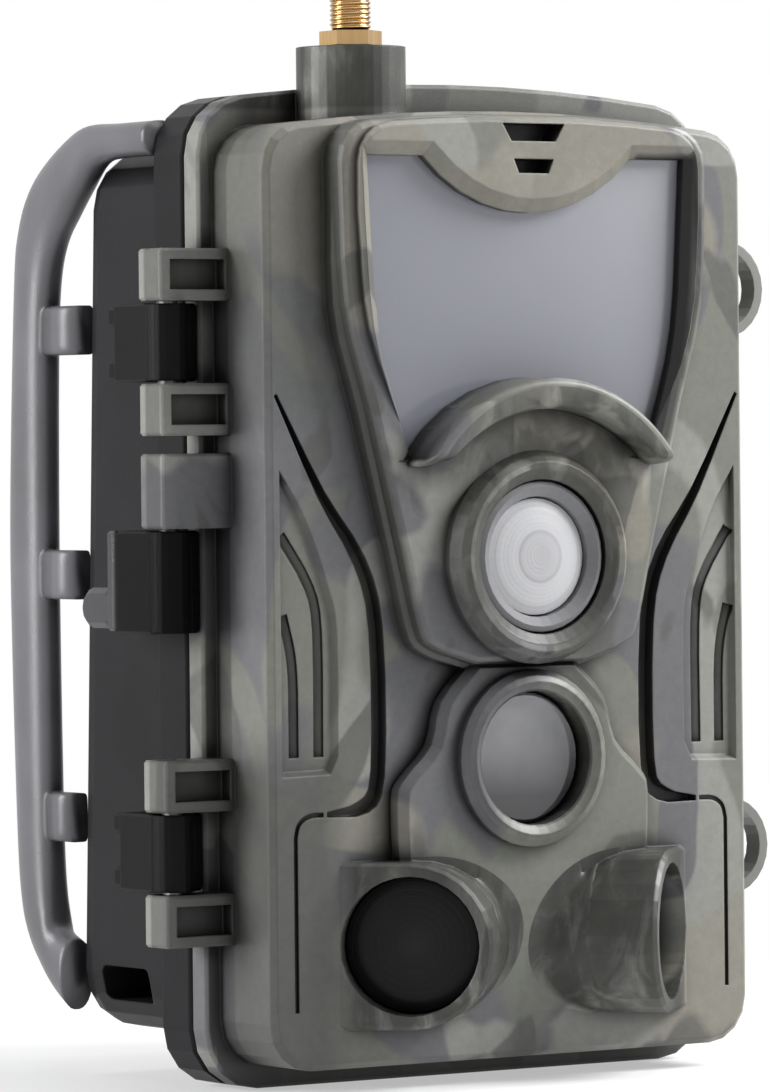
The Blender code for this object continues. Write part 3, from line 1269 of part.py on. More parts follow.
def latch(name, middle):
    """A lever on a pin, with a claw over the front rim and a bowed finger loop."""
    low, high = middle - LATCH_HEIGHT / 2, middle + LATCH_HEIGHT / 2
    inner, front = RIM_HALF + GAP, RIM_Y - GAP
    lever = box(name, (inner, front - CLAW_DEPTH, low), (inner + LATCH_THICK, LATCH_Y, high), EDGE_FINE, 1)
    fuse(lever, box("claw", (RIM_HALF - CLAW_REACH, front - CLAW_DEPTH + GAP / 3, low + GAP),
                    (inner + LATCH_THICK / 2, front, high - GAP)))
    fuse(lever, axis_bore("barrel", (LATCH_X, LATCH_Y), LATCH_BARREL, low + GAP / 3, high - GAP / 3))
    foot = inner + LATCH_THICK / 2
    chord, rise = LATCH_HEIGHT / 2 - LOOP_THICK / 2, LATCH_OUT - foot
    radius = (chord ** 2 + rise ** 2) / (2 * rise)
    swing = math.degrees(math.atan2(chord, foot - (LATCH_OUT - radius)))
    centre = (LATCH_OUT - radius, middle)
    loop = arc(centre, radius, -swing, swing, 17) + arc(centre, radius - LOOP_THICK, swing, -swing, 17)
    fuse(lever, front_plate("loop", loop, RIM_Y + GAP, RIM_Y + LOOP_WIDTH))
    return cut(lever, axis_bore("pin_bore", (LATCH_X, LATCH_Y), LATCH_PIN + GAP, low - REACH, high + REACH))


def build_front_half(carrier):
    pieces = [
        (front_shell(), "camo_plastic"), (led_window(), "tinted_panel"), (led_board(), "circuit_board"),
        (pir_ring(), "grey_ring"), (pir_lens(), "milky_lens"), (pir_sensor(), "steel"),
        (lens_glass(), "dark_glass"), (camera_module(), "black_plastic"),
        (side_lens("side_lens_left", -1), "dark_glass"), (side_lens("side_lens_right", 1), "dark_glass"),
        (side_sensor("side_sensor_left", -1), "steel"), (side_sensor("side_sensor_right", 1), "steel"),
        (coax_jack(), "gold"), (jack_nut(), "gold"), (main_board(), "circuit_board"),
        (inner_panel(), "black_plastic"), (screen(), "dark_glass"), (speaker(), "steel"),
    ]
    for number, (x, z) in enumerate(screw_places(), 1):
        pieces.append((panel_screw(f"panel_screw_{number}", x, z), "steel"))
    for item, finish in pieces:
        finish_piece(item, finish, carrier)
    for name, (x, z) in button_places().items():
        key = make_carrier(name + "_travel", (x, PANEL_Y, z))
        finish_piece(button(name, x, z), "soft_key", key)
    switch = make_carrier("mode_switch_travel", (SWITCH_X, PANEL_Y, BUTTON_Z))
    finish_piece(mode_switch(), "soft_key", switch)


def build_rear_half():
    pieces = [(rear_case(), "black_plastic"), (gasket(), "rubber"), (tripod_insert(), "brass"),
              (strap_rail("strap_rail_left", -1), "black_plastic"),
              (strap_rail("strap_rail_right", 1), "black_plastic"),
              (battery_tray(), "black_plastic"), (lock_block(), "black_plastic")]
    for row, low in enumerate(tray_rows(), 1):
        pieces.append((contact_strip(f"contact_spring_{row}", low, True), "steel"))
        pieces.append((contact_strip(f"contact_plain_{row}", low + TRAY_ROW - CONTACT_THICK, False),
                       "steel"))
        for column, x in enumerate(tray_columns(), 1):
            pieces.append((cell(f"cell_{row}_{column}", x, low), "cell_sleeve"))
    for place, middle in zip(("upper", "lower"), HINGE_ZS):
        pieces.append((hinge_pin(f"hinge_pin_{place}", middle), "steel"))
    for place, middle in zip(("upper", "lower"), LATCH_ZS):
        pieces.append((latch_pin(f"latch_pin_{place}", middle), "steel"))
        pivot = make_carrier(f"latch_{place}_pivot", (LATCH_X, LATCH_Y, middle))
        finish_piece(latch(f"latch_{place}", middle), "black_plastic", pivot)
    for item, finish in pieces:
        finish_piece(item, finish)
    travel = make_carrier("lock_travel", (HINGE_X, HINGE_Y, LOCK_LOW))
    finish_piece(lock_slide(), "black_plastic", travel)


def main():
    clear_scene()
    make_collection(PARTS)
    for name in FINISHES:
        make_finish(name)
    build_front_half(make_carrier("case_hinge", (HINGE_X, HINGE_Y, 0.0)))
    build_rear_half()


main()
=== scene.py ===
"""Looks of the trail camera: materials for every solid, a few fine pieces, studio light and the camera.

Metres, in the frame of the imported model: +Z up, the lens faces -Y.
"""
import math

import bmesh
import bpy
from mathutils import Matrix, Vector

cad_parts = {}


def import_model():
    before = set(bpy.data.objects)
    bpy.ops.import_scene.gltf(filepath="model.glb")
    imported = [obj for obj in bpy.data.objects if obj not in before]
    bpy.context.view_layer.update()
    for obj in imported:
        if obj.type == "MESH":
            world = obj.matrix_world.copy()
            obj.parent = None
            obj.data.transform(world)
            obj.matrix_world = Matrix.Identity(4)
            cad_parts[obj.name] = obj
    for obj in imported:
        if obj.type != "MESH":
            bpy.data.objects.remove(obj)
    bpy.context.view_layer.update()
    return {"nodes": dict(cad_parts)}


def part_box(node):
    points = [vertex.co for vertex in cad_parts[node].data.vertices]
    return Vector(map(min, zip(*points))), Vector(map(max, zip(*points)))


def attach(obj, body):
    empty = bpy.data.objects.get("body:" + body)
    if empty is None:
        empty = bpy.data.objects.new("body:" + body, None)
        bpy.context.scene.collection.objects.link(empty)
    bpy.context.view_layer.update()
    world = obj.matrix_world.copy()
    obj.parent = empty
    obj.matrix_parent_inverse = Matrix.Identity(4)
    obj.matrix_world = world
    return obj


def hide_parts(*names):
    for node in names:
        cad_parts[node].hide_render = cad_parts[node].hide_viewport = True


# Camera, solved from the photograph's edges
LOOK_AT = Vector((-0.0228, -0.0223, 0.0795))
AZIMUTH = math.radians(34.34)
PITCH = math.radians(0.83)
ROLL = math.radians(-0.60)
DISTANCE = 0.995
FOCAL_PIXELS = 6811
FRAME_HEIGHT = 1092
SENSOR = 36.0

# Lamps: name, place, size and power, all aimed at the middle of the part
LAMP_AIM = Vector((0.0, 0.0, 0.08))
LAMPS = (("side_left", (-1.15, 0.40, 0.35), (0.5, 0.9), 20.0),
         ("key_right", (0.42, -0.25, 0.42), (0.30, 0.30), 6.4),
         ("top", (0.1, -0.1, 1.3), (0.9, 0.9), 9.0))
SKY = (0.92, 0.95, 1.0, 1.0)
SKY_STRENGTH = 0.16
WHITE = (1.0, 1.0, 1.0, 1.0)

# Floor: half its size, its drop under the part, and where it turns from shaded to white
FLOOR_HALF = 6.0
FLOOR_DROP = 0.0002
FLOOR_NEAR, FLOOR_FAR = 0.07, 0.22
FLOOR_NEAR_WHITE = 0.45

# Places on the part
FACE_Y = -0.0223
BODY_Y = -0.0273
HINGE_SIDE = -0.0455
HINGE_BLEND = 0.0006
PIR_CENTRE = (0.0, FACE_Y, 0.0776)
PIR_LENS_RADIUS = 0.0088
PIR_TOOTH = 0.00062
LENS_CENTRE = (0.0, FACE_Y, 0.0479)
LENS_LOW, LENS_HIGH = 0.0385, 0.0573
POD_FORWARD = 0.0068
POD_MOUTH = (0.0238, FACE_Y - POD_FORWARD, 0.0213)
POD_ANGLE = math.radians(42)
POD_LENGTH = 0.0150
POD_ROOT = 0.01238
POD_LAP = 0.0036
POD_FILLET = 0.00035
POD_FOOT = POD_FORWARD * math.tan(POD_ANGLE)
POD_LENS_RADIUS = 0.0102
POD_TOOTH = 0.0010

# The window's opening: its half width grows with height, up to a limit
WINDOW_SPREAD = 0.284
WINDOW_INSET = 0.0030
WINDOW_HALF = 0.0304

# Tones of the printed pattern; shade, bark and deep also serve for painted shade, and the last is the black
# of painted shadow
CAMO_OLIVE = (0.138, 0.142, 0.122)
CAMO_GREY = (0.106, 0.106, 0.112)
CAMO_LIGHT = (0.215, 0.218, 0.198)
CAMO_SAND = (0.200, 0.188, 0.155)
CAMO_SHADE = (0.070, 0.071, 0.065)
CAMO_BARK = (0.034, 0.035, 0.029)
CAMO_DEEP = (0.018, 0.019, 0.016)
PAINTED_SHADOW_BLACK = (0.006, 0.006, 0.006)
CAMO_LEAN = math.radians(24)
BARK_LEAN = math.radians(-30)

# Zones of the print, of painted light and of painted shade: along an axis, a zone's share grows from 0 at
# its first place to 1 at its second
LEFT_X = (-0.0310, -0.0380)
TOP_Z = (0.1240, 0.1360)
FLANGE_X = (-0.0425, -0.0440)
CHIN_Z = (0.0150, 0.0080)
CHIN_X = (-0.0140, -0.0040)
HINGE_WALL_X = (-0.0290, -0.0345)
HINGE_WALL_Y = (-0.0116, -0.0124)
HINGE_FOOT_Z = (0.0540, 0.0440)
HINGE_HEAD_Z = (0.0930, 0.1040)
LEDGE_YS = ((-0.0224, -0.0229), (-0.0272, -0.0264))
LEDGE_Z = (0.0600, 0.0640)
POD_Y = (-0.0226, -0.0238)
BASE_Z = (0.1432, 0.1440)
BASE_X = (-0.0100, -0.0110)
FRAME_PASTS = ((0.0026, 0.0010), (-0.0010, -0.0006))
FRAME_Y = (-0.0262, -0.0268)
FRAME_ZS = ((0.0925, 0.0950), (0.1390, 0.1360))
BEZEL_LEFT_X = (-0.0020, -0.0120)
BEZEL_Y = (-0.0280, -0.0290)
STEP_YS = ((-0.0124, -0.0119), (-0.0080, -0.0086))
REVEAL_Y = (-0.0289, -0.0280)
REVEAL_ZS = ((0.0922, 0.0932), (0.1375, 0.1365))
REVEAL_X = (0.0190, 0.0200)
FLANK_Y = (-0.0343, -0.0315)
FLANK_ZS = ((0.1010, 0.0925), (0.0916, 0.0922))
FLANK_INNER, FLANK_OUTER = 0.0258, 0.0270

# How strongly each zone counts
LEFT_PAINTED_SHADE_GREY, LEFT_PAINTED_SHADE_MINUS_LIGHT, LEFT_PAINTED_SHADE_MINUS_SAND = 0.07, 0.12, 0.06
TOP_PAINTED_LIGHT, FLANGE_PAINTED_LIGHT, CHIN_PAINTED_LIGHT = 0.12, 0.20, 0.12
HINGE_FOOT_PAINTED_SHADE, HINGE_HEAD_PAINTED_SHADE, LEDGE_PAINTED_SHADE = 0.95, 0.50, 0.9
BEZEL_WALL_PAINTED_SHADE, BEZEL_LEFT_PAINTED_SHADE, BARK_SHARE = 0.9, 0.7, 0.92
STEP_PAINTED_SHADOW = 0.55

# Bezels: centre, radius of the inner wall, which gets painted shade, and the two radii of the band of bark
BEZELS = ((PIR_CENTRE, 0.0131, 0.0118, 0.0250),
          (LENS_CENTRE, 0.0102, 0.0098, 0.0150))

# Painted reflection on the tinted window: it grows lighter upwards and to the right
WINDOW_REFLECTION_Z = (0.090, 0.140)
WINDOW_REFLECTION_X = (-0.035, 0.030)

# Black plastic: tints of its darker and lighter drift, and how much paler its scuffs are
BLACK_DARK = (0.80, 0.79, 0.86)
BLACK_LIGHT = (1.20, 1.18, 1.33)
BLACK_BLUE = 1.1
SCUFF = 2.6

# Radius of the edges, depth of the grain and reach of the painted shade in crevices, by finish
BLACK_EDGE, BLACK_GRAIN, BLACK_CREVICE_SHADE = 0.0005, 0.00003, 0.004
CAMO_EDGE, CAMO_GRAIN, CAMO_CREVICE_SHADE = 0.0004, 0.00002, 0.0036
PLAIN_EDGE, PLAIN_GRAIN = 0.0002, 0.00002
TINT_GRAIN = 0.000004
METAL_GRAIN = 0.00001
TRACK_DEPTH = 0.00005
PIR_TOOTH_DEPTH = 0.00006
POD_TOOTH_DEPTH = 0.00005

# The bow of a strap rail, from its top arm to its foot: places and heights of its two edges
RAIL_OUTER = ((0.0043, 0.1425), (0.0150, 0.1425), (0.0232, 0.1425), (0.0289, 0.1407), (0.0357, 0.1370),
              (0.0401, 0.1330), (0.0427, 0.1280), (0.0441, 0.1200), (0.0461, 0.0862), (0.0460, 0.0640),
              (0.0449, 0.0350), (0.0437, 0.0245), (0.0415, 0.0192), (0.0377, 0.0150), (0.0339, 0.0118),
              (0.0304, 0.0096))
RAIL_INNER = ((0.0043, 0.1373), (0.0145, 0.1373), (0.0205, 0.1365), (0.0250, 0.1325), (0.0287, 0.1288),
              (0.0325, 0.1245), (0.0347, 0.1180), (0.0356, 0.1050), (0.0359, 0.0700), (0.0355, 0.0350),
              (0.0349, 0.0248), (0.0339, 0.0219), (0.0299, 0.0201))
RAIL_X = 0.04395
RAIL_HALF = 0.00275
RAIL_RINGS = 120
RAIL_ROUND = 0.85
RIB_ZS = (0.1120, 0.0752, 0.0386)
RIB_HALF_HEIGHT = 0.0037
RIB_HALF_THICK = 0.0016
RIB_END = 0.0375
RIB_ROUND = 0.3

# The rear case's back, from which the ribs start: its place at a height, and its lean below that
BACK_Y = 0.0247
BACK_Z = 0.141
BACK_LEAN = 0.043

# The brow over the motion sensor: its two arcs are centre height, radius and swing in degrees
BROW_FOOT = 0.0920
BROW_RISE = 0.0071
BROW_ARCS = ((0.0776, 0.0263, 56.8), (0.0728, 0.0266, 43.8))
BROW_PROUD = 0.00008
BROW_EASE = 0.95
BROW_END = 1.055
BROW_ROUND = 0.34
BROW_SINK = 0.1
BROW_RINGS = 140
BROW_SIDES = 36

# Skins that blend the face's steps: grid, depth under the surface, and fall of a lap under what it meets
SKIN_STEP = 0.0003
SKIN_SINK = 0.0001
SKIN_BACK = 6 * SKIN_SINK
LAP_FALL = 0.06

# The slope under the window, and the raised body's half width at a height
SILL_RISE = 0.00178
SILL_LENGTH = 0.0100
SILL_LOW = BROW_FOOT - 0.0105
SILL_LAP = 0.0040
SILL_HALF = 0.0225
SILL_FADE = 0.0035
SILL_INSET = 0.0006
BODY_HALF = 0.0214
BODY_HALF_Z = 0.0795
BODY_SPREAD = 0.2585

# The slope under the camera's foot
FOOT_LOW = 0.0075
FOOT_START = 0.0080
FOOT_Z = 0.0297
FOOT_LAP = 0.0060
FOOT_RISE = 0.00388
FOOT_HALF = 0.0130
FOOT_FADE = 0.0040
FOOT_SKIN_HALF = 0.0135

# The coax jack: its thread, and the depths of its mouth under its top
THREAD_PITCH = 0.0007
THREAD_DEPTH = 0.00038
THREAD_ROWS = 6
THREAD_END = 0.0006
JACK_SIDES = 40
JACK_CHAMFER = 0.0003
JACK_CHAMFER_DEPTH = 0.0004
JACK_BORE = 0.0022
JACK_BORE_DEPTH = 0.0045
JACK_PIN = 0.00055
JACK_PIN_DEPTH = 0.0012
JACK_TIP_DEPTH = 0.0008

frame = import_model()
nodes = frame["nodes"]


# Node helpers
class Finish:
    """A material under construction: short calls for the nodes that the finishes share."""

    def __init__(self, name, colour, roughness, metallic=0.0, bevel=0.0, **sockets):
        self.material = bpy.data.materials.new(name)
        self.material.use_nodes = True
        self.tree = self.material.node_tree
        self.shader = self.tree.nodes["Principled BSDF"]
        self.set("Base Color", (*colour, 1.0))
        self.set("Roughness", roughness)
        self.set("Metallic", metallic)
        for socket, value in sockets.items():
            self.set(socket.replace("_", " "), value)
        self.bevel = bevel
        self.place = self.node("ShaderNodeTexCoord").outputs["Object"]

    def node(self, kind, **values):
        made = self.tree.nodes.new(kind)
        for name, value in values.items():
            setattr(made, name, value)
        return made

    def link(self, source, target):
        self.tree.links.new(source, target)

    def set(self, socket, value):
        self.shader.inputs[socket].default_value = value

    def feed(self, socket, value):
        """Link a socket to an output, or give it a number or a colour."""
        if isinstance(value, tuple):
            socket.default_value = (*value, 1.0)
        elif isinstance(value, (int, float)):
            socket.default_value = value
        else:
            self.link(value, socket)

    def rounded_normal(self):
        made = self.node("ShaderNodeBevel", samples=4)
        made.inputs["Radius"].default_value = self.bevel
        return made.outputs["Normal"]

    def math(self, operation, first, *others):
        """An operation on one value, or on several from left to right."""
        result = first
        for other in others or (0.0,):
            made = self.node("ShaderNodeMath", operation=operation)
            self.feed(made.inputs[0], result)
            self.feed(made.inputs[1], other)
            result = made.outputs[0]
        return result

    def stretched(self, stretch, turn=(0.0, 0.0, 0.0), shift=(0.0, 0.0, 0.0)):
        made = self.node("ShaderNodeMapping")
        self.link(self.place, made.inputs["Vector"])
        made.inputs["Scale"].default_value = stretch
        made.inputs["Rotation"].default_value = turn
        made.inputs["Location"].default_value = shift
        return made.outputs[0]

    def noise(self, scale, detail=3.0, roughness=0.5, distortion=0.0, at=None):
        made = self.node("ShaderNodeTexNoise")
        self.link(self.place if at is None else at, made.inputs["Vector"])
        made.inputs["Scale"].default_value = scale
        made.inputs["Detail"].default_value = detail
        made.inputs["Roughness"].default_value = roughness
        made.inputs["Distortion"].default_value = distortion
        return made.outputs["Fac"]

    def cells(self, scale, feature="F1"):
        made = self.node("ShaderNodeTexVoronoi", feature=feature)
        self.link(self.place, made.inputs["Vector"])
        made.inputs["Scale"].default_value = scale
        return made.outputs["Distance"]

    def ramp(self, value, *stops):
        """Colours or greys by value: each stop is (position, colour)."""
        made = self.node("ShaderNodeValToRGB")
        self.link(value, made.inputs[0])
        points = made.color_ramp.elements
        while len(points) < len(stops):
            points.new(1.0)
        for point, (position, colour) in zip(points, stops):
            point.position = position
            point.color = (*colour, 1.0) if isinstance(colour, tuple) else (colour, colour, colour, 1.0)
        return made.outputs["Color"]

    def mix(self, factor, first, second, blend="MIX"):
        made = self.node("ShaderNodeMix", data_type="RGBA", blend_type=blend)
        for socket, value in zip((made.inputs[0], made.inputs[6], made.inputs[7]), (factor, first, second)):
            self.feed(socket, value)
        return made.outputs[2]

    def colour(self, source):
        self.link(source, self.shader.inputs["Base Color"])

    def rough(self, value, low, high):
        self.link(self.between(value, 0.0, 1.0, low, high), self.shader.inputs["Roughness"])

    def bump(self, height, distance, strength=1.0):
        made = self.node("ShaderNodeBump")
        made.inputs["Distance"].default_value = distance
        made.inputs["Strength"].default_value = strength
        self.link(height, made.inputs["Height"])
        if self.bevel:
            self.link(self.rounded_normal(), made.inputs["Normal"])
        self.link(made.outputs["Normal"], self.shader.inputs["Normal"])

    def axis(self, name):
        parts = self.node("ShaderNodeSeparateXYZ")
        self.link(self.place, parts.inputs[0])
        return parts.outputs[name]

    def between(self, value, start, end, low=0.0, high=1.0):
        """A number that goes from low to high as a value goes from start to end."""
        made = self.node("ShaderNodeMapRange")
        self.link(value, made.inputs["Value"])
        made.inputs["From Min"].default_value = start
        made.inputs["From Max"].default_value = end
        made.inputs["To Min"].default_value = low
        made.inputs["To Max"].default_value = high
        return made.outputs[0]

    def along(self, axis, start, end):
        """A share from 0 to 1 that grows along one axis between two places."""
        return self.between(self.axis(axis), start, end)

    def painted_crevice_shade(self, colour, reach, floor):
        """Painted shade: darken a colour where the surface is hemmed in by nearby surfaces."""
        made = self.node("ShaderNodeAmbientOcclusion", samples=8)
        made.inputs["Distance"].default_value = reach
        return self.mix(1.0, colour, self.ramp(made.outputs["AO"], (0.45, floor), (0.95, 1.0)), "MULTIPLY")

    def radius(self, centre, turn=(0.0, 0.0, 0.0)):
        """Distance from an axis through a centre: along Y, or turned from it."""
        shifted = self.node("ShaderNodeVectorMath", operation="SUBTRACT")
        self.link(self.place, shifted.inputs[0])
        shifted.inputs[1].default_value = centre
        turned = self.node("ShaderNodeVectorRotate", rotation_type="EULER_XYZ")
        self.link(shifted.outputs[0], turned.inputs["Vector"])
        turned.inputs["Rotation"].default_value = turn
        flat = self.node("ShaderNodeVectorMath", operation="MULTIPLY")
        self.link(turned.outputs[0], flat.inputs[0])
        flat.inputs[1].default_value = (1.0, 0.0, 1.0)
        length = self.node("ShaderNodeVectorMath", operation="LENGTH")
        self.link(flat.outputs[0], length.inputs[0])
        return length.outputs["Value"]

    def teeth(self, radius, pitch):
        """A saw-tooth of concentric rings."""
        return self.math("FRACT", self.math("DIVIDE", radius, pitch))


# Finishes
def scaled(colour, factor):
    return tuple(min(1.0, c * factor) for c in colour)


def moulded_black(name, colour, roughness, gloss=0.35, hinge=1.0):
    """Satin moulded plastic: a fine spark texture, faint handling marks and slight colour drift."""
    base = (colour, colour, colour * BLACK_BLUE)
    finish = Finish(name, base, roughness, bevel=BLACK_EDGE, Specular_IOR_Level=gloss)
    dark = tuple(colour * tint for tint in BLACK_DARK)
    light = tuple(colour * tint for tint in BLACK_LIGHT)
    tone = finish.ramp(finish.noise(55, 4), (0.3, dark), (0.75, light))
    # Painted shade: past the hinge side the knuckles get a much darker copy of the case's black.
    if hinge < 1.0:
        beside = finish.along("X", HINGE_SIDE - HINGE_BLEND, HINGE_SIDE)
        tone = finish.mix(beside, scaled(light, hinge), tone)
    scuffs = finish.noise(900, 6, 0.7, at=finish.stretched((1.0, 1.0, 0.2), turn=(0.4, 0.3, 0.0)))
    tone = finish.mix(finish.ramp(scuffs, (0.66, 0.0), (0.74, 0.22)), tone, (colour * SCUFF,) * 3)
    # Painted shade in the crevices.
    finish.colour(finish.painted_crevice_shade(tone, BLACK_CREVICE_SHADE, 0.30))
    finish.rough(finish.noise(180, 5, 0.65), roughness - 0.07, roughness + 0.09)
    finish.bump(finish.noise(2600, 2, 0.6), BLACK_GRAIN)
    return finish.material


def camo():
    """Printed woodland pattern of five tones in smooth patches, with painted shade on the left and painted
    light at the top, flange and chin; then zones of painted shade, of bark with painted shade on the
    bezels, and of painted black shadow, and painted shade in crevices.
    """
    finish = Finish("camo_plastic", CAMO_OLIVE, 0.34, bevel=CAMO_EDGE, Specular_IOR_Level=0.36)
    tone = camo_patches(finish)
    # Painted shade, in the shade tone of the print.
    tone = finish.mix(painted_shade_places(finish), tone, CAMO_SHADE)
    # Bark print, and painted shade in bark tones on the bezels.
    tone = finish.mix(bark_and_painted_shade_places(finish), tone, bark(finish))
    # Painted shadow in black.
    tone = finish.mix(painted_shadow_places(finish), tone, PAINTED_SHADOW_BLACK)
    grain = finish.ramp(finish.noise(700, 4, 0.6), (0.3, 0.86), (0.7, 1.0))
    # Painted shade in the crevices, over the printed colour and its grain.
    finish.colour(finish.painted_crevice_shade(finish.mix(1.0, tone, grain, "MULTIPLY"), CAMO_CREVICE_SHADE, 0.10))
    finish.rough(finish.noise(150, 4, 0.6), 0.34, 0.48)
    finish.bump(finish.noise(2400, 2, 0.6), CAMO_GRAIN)
    return finish.material


def camo_patches(finish):
    """The pattern's own tones, with painted shade on the left (more grey, less of the light and sand tones)
    and painted light at the top, flange and chin (more of the light tone).
    """
    flow = finish.stretched((1.0, 0.9, 0.7), turn=(0.0, CAMO_LEAN, 0.0), shift=(0.013, 0.0, 0.021))
    # Painted shade: the left of the face gets more grey and less of the light and sand tones.
    left = finish.along("X", *LEFT_X)
    grey = finish.noise(36, 1.4, 0.4, 0.9, flow)
    grey = finish.math("ADD", grey, finish.math("MULTIPLY", left, LEFT_PAINTED_SHADE_GREY))
    tone = finish.mix(finish.ramp(grey, (0.485, 0.0), (0.505, 1.0)), CAMO_OLIVE, CAMO_GREY)
    # Painted light: more of the light tone at the top, on the flange and at the chin.
    top = finish.math("MULTIPLY", finish.along("Z", *TOP_Z), TOP_PAINTED_LIGHT)
    side = finish.math("MULTIPLY", finish.along("X", *FLANGE_X), FLANGE_PAINTED_LIGHT)
    light = finish.math("ADD", finish.math("MAXIMUM", top, side), finish.noise(30, 1.5, 0.4, 1.1, flow))
    light = finish.math("SUBTRACT", light, finish.math("MULTIPLY", left, LEFT_PAINTED_SHADE_MINUS_LIGHT))
    chin = finish.math("MULTIPLY", finish.along("Z", *CHIN_Z), finish.along("X", *CHIN_X), CHIN_PAINTED_LIGHT)
    light = finish.math("ADD", light, chin)
    tone = finish.mix(finish.ramp(light, (0.565, 0.0), (0.585, 0.9)), tone, CAMO_LIGHT)
    sand = finish.noise(25, 1.5, 0.4, 0.9, finish.stretched((0.8, 1.0, 0.8), shift=(0.31, 0.0, 0.17)))
    sand = finish.math("SUBTRACT", sand, finish.math("MULTIPLY", left, LEFT_PAINTED_SHADE_MINUS_SAND))
    tone = finish.mix(finish.ramp(sand, (0.585, 0.0), (0.605, 0.8)), tone, CAMO_SAND)
    counter = finish.stretched((1.0, 1.0, 0.6), turn=(0.0, -CAMO_LEAN, 0.0))
    blots = finish.noise(44, 1.8, 0.45, 1.3, counter)
    return finish.mix(finish.ramp(blots, (0.60, 0.0), (0.625, 0.75)), tone, CAMO_SHADE)


def painted_shade_places(finish):
    """Share of painted shade: the hinge side, most at its foot, and the flanks of the raised body."""
    foot = finish.math("MULTIPLY", finish.along("Z", *HINGE_FOOT_Z), HINGE_FOOT_PAINTED_SHADE)
    head = finish.math("MULTIPLY", finish.along("Z", *HINGE_HEAD_Z), HINGE_HEAD_PAINTED_SHADE)
    side = finish.math("MULTIPLY", finish.along("X", *HINGE_WALL_X), finish.along("Y", *HINGE_WALL_Y),
                       finish.math("MAXIMUM", foot, head))
    ledge = finish.math("MULTIPLY", *[finish.along("Y", *limits) for limits in LEDGE_YS],
                        finish.along("Z", *LEDGE_Z), LEDGE_PAINTED_SHADE)
    return finish.math("MAXIMUM", side, ledge)


def window_edge(finish):
    """Half width of the window's opening at this height."""
    spread = finish.math("SUBTRACT", finish.math("MULTIPLY", finish.axis("Z"), WINDOW_SPREAD), WINDOW_INSET)
    return finish.math("MINIMUM", spread, WINDOW_HALF)


def pod_places(finish):
    """Share of the two pods: inside the footprint of their tubes on the face, and proud of it."""
    across = finish.math("SUBTRACT", finish.math("ABSOLUTE", finish.axis("X")), POD_MOUTH[0] - POD_FOOT)
    across = finish.math("MULTIPLY", finish.math("MINIMUM", across, 0.0), math.cos(POD_ANGLE))
    upward = finish.math("SUBTRACT", finish.axis("Z"), POD_MOUTH[2])
    squares = [finish.math("MULTIPLY", leg, leg) for leg in (across, upward)]
    reach = finish.math("SQRT", finish.math("ADD", *squares))
    within = finish.math("LESS_THAN", reach, POD_ROOT + POD_FILLET)
    return finish.math("MULTIPLY", finish.along("Y", *POD_Y), within)


def bark_and_painted_shade_places(finish):
    """Share of bark: printed on the pods, the antenna base, a band right of the window and a band on the
    two bezels, and painted shade in bark tones on the bezels' inner walls and towards their left.
    """
    base = finish.math("MULTIPLY", finish.along("Z", *BASE_Z), finish.along("X", *BASE_X))
    past = finish.math("SUBTRACT", finish.axis("X"), window_edge(finish))
    beside = finish.math("MULTIPLY", *[finish.between(past, *limits) for limits in FRAME_PASTS],
                         finish.along("Y", *FRAME_Y), *[finish.along("Z", *limits) for limits in FRAME_ZS])
    share = finish.math("MAXIMUM", beside, pod_places(finish), base)
    broken = finish.ramp(finish.noise(95, 3, 0.6, 0.6), (0.42, 0.0), (0.50, 0.8))
    # Painted shade: more bark towards the bezels' left.
    left = finish.math("MULTIPLY", finish.along("X", *BEZEL_LEFT_X), BEZEL_LEFT_PAINTED_SHADE)
    broken = finish.math("MAXIMUM", broken, left)
    for centre, wall, inner, outer in BEZELS:
        radius = finish.radius(centre)
        # Painted shade on the bezels' inner walls.
        painted_shade_walls = finish.math("MULTIPLY", finish.math("LESS_THAN", radius, wall), BEZEL_WALL_PAINTED_SHADE)
        band = finish.math("MULTIPLY", finish.math("GREATER_THAN", radius, inner),
                           finish.math("LESS_THAN", radius, outer), finish.along("Y", *BEZEL_Y), broken)
        share = finish.math("MAXIMUM", share, painted_shade_walls, band)
    return finish.math("MULTIPLY", share, BARK_SHARE)


def painted_shadow_places(finish):
    """Share of painted black shadow: the step beside the flange, the window's right reveal and the visor's
    flank.
    """
    step = finish.math("MULTIPLY", *[finish.along("Y", *limits) for limits in STEP_YS], STEP_PAINTED_SHADOW)
    inside = finish.math("LESS_THAN", finish.axis("X"), window_edge(finish))
    reveal = finish.math("MULTIPLY", finish.along("Y", *REVEAL_Y),
                         *[finish.along("Z", *limits) for limits in REVEAL_ZS],
                         inside, finish.along("X", *REVEAL_X))
    radius = finish.radius(PIR_CENTRE)
    flank = finish.math("MULTIPLY", finish.math("GREATER_THAN", radius, FLANK_INNER),
                        finish.math("LESS_THAN", radius, FLANK_OUTER), finish.along("Y", *FLANK_Y),
                        *[finish.along("Z", *limits) for limits in FLANK_ZS])
    return finish.math("MAXIMUM", step, reveal, flank)


def bark(finish):
    """Mottled dark streaks with lighter flakes."""
    streaks = finish.stretched((1.0, 1.0, 0.4), turn=(0.0, BARK_LEAN, 0.0))
    mottle = finish.noise(170, 5, 0.6, 0.8, streaks)
    return finish.ramp(mottle, (0.36, CAMO_DEEP), (0.52, CAMO_BARK), (0.60, CAMO_SHADE), (0.72, CAMO_OLIVE))


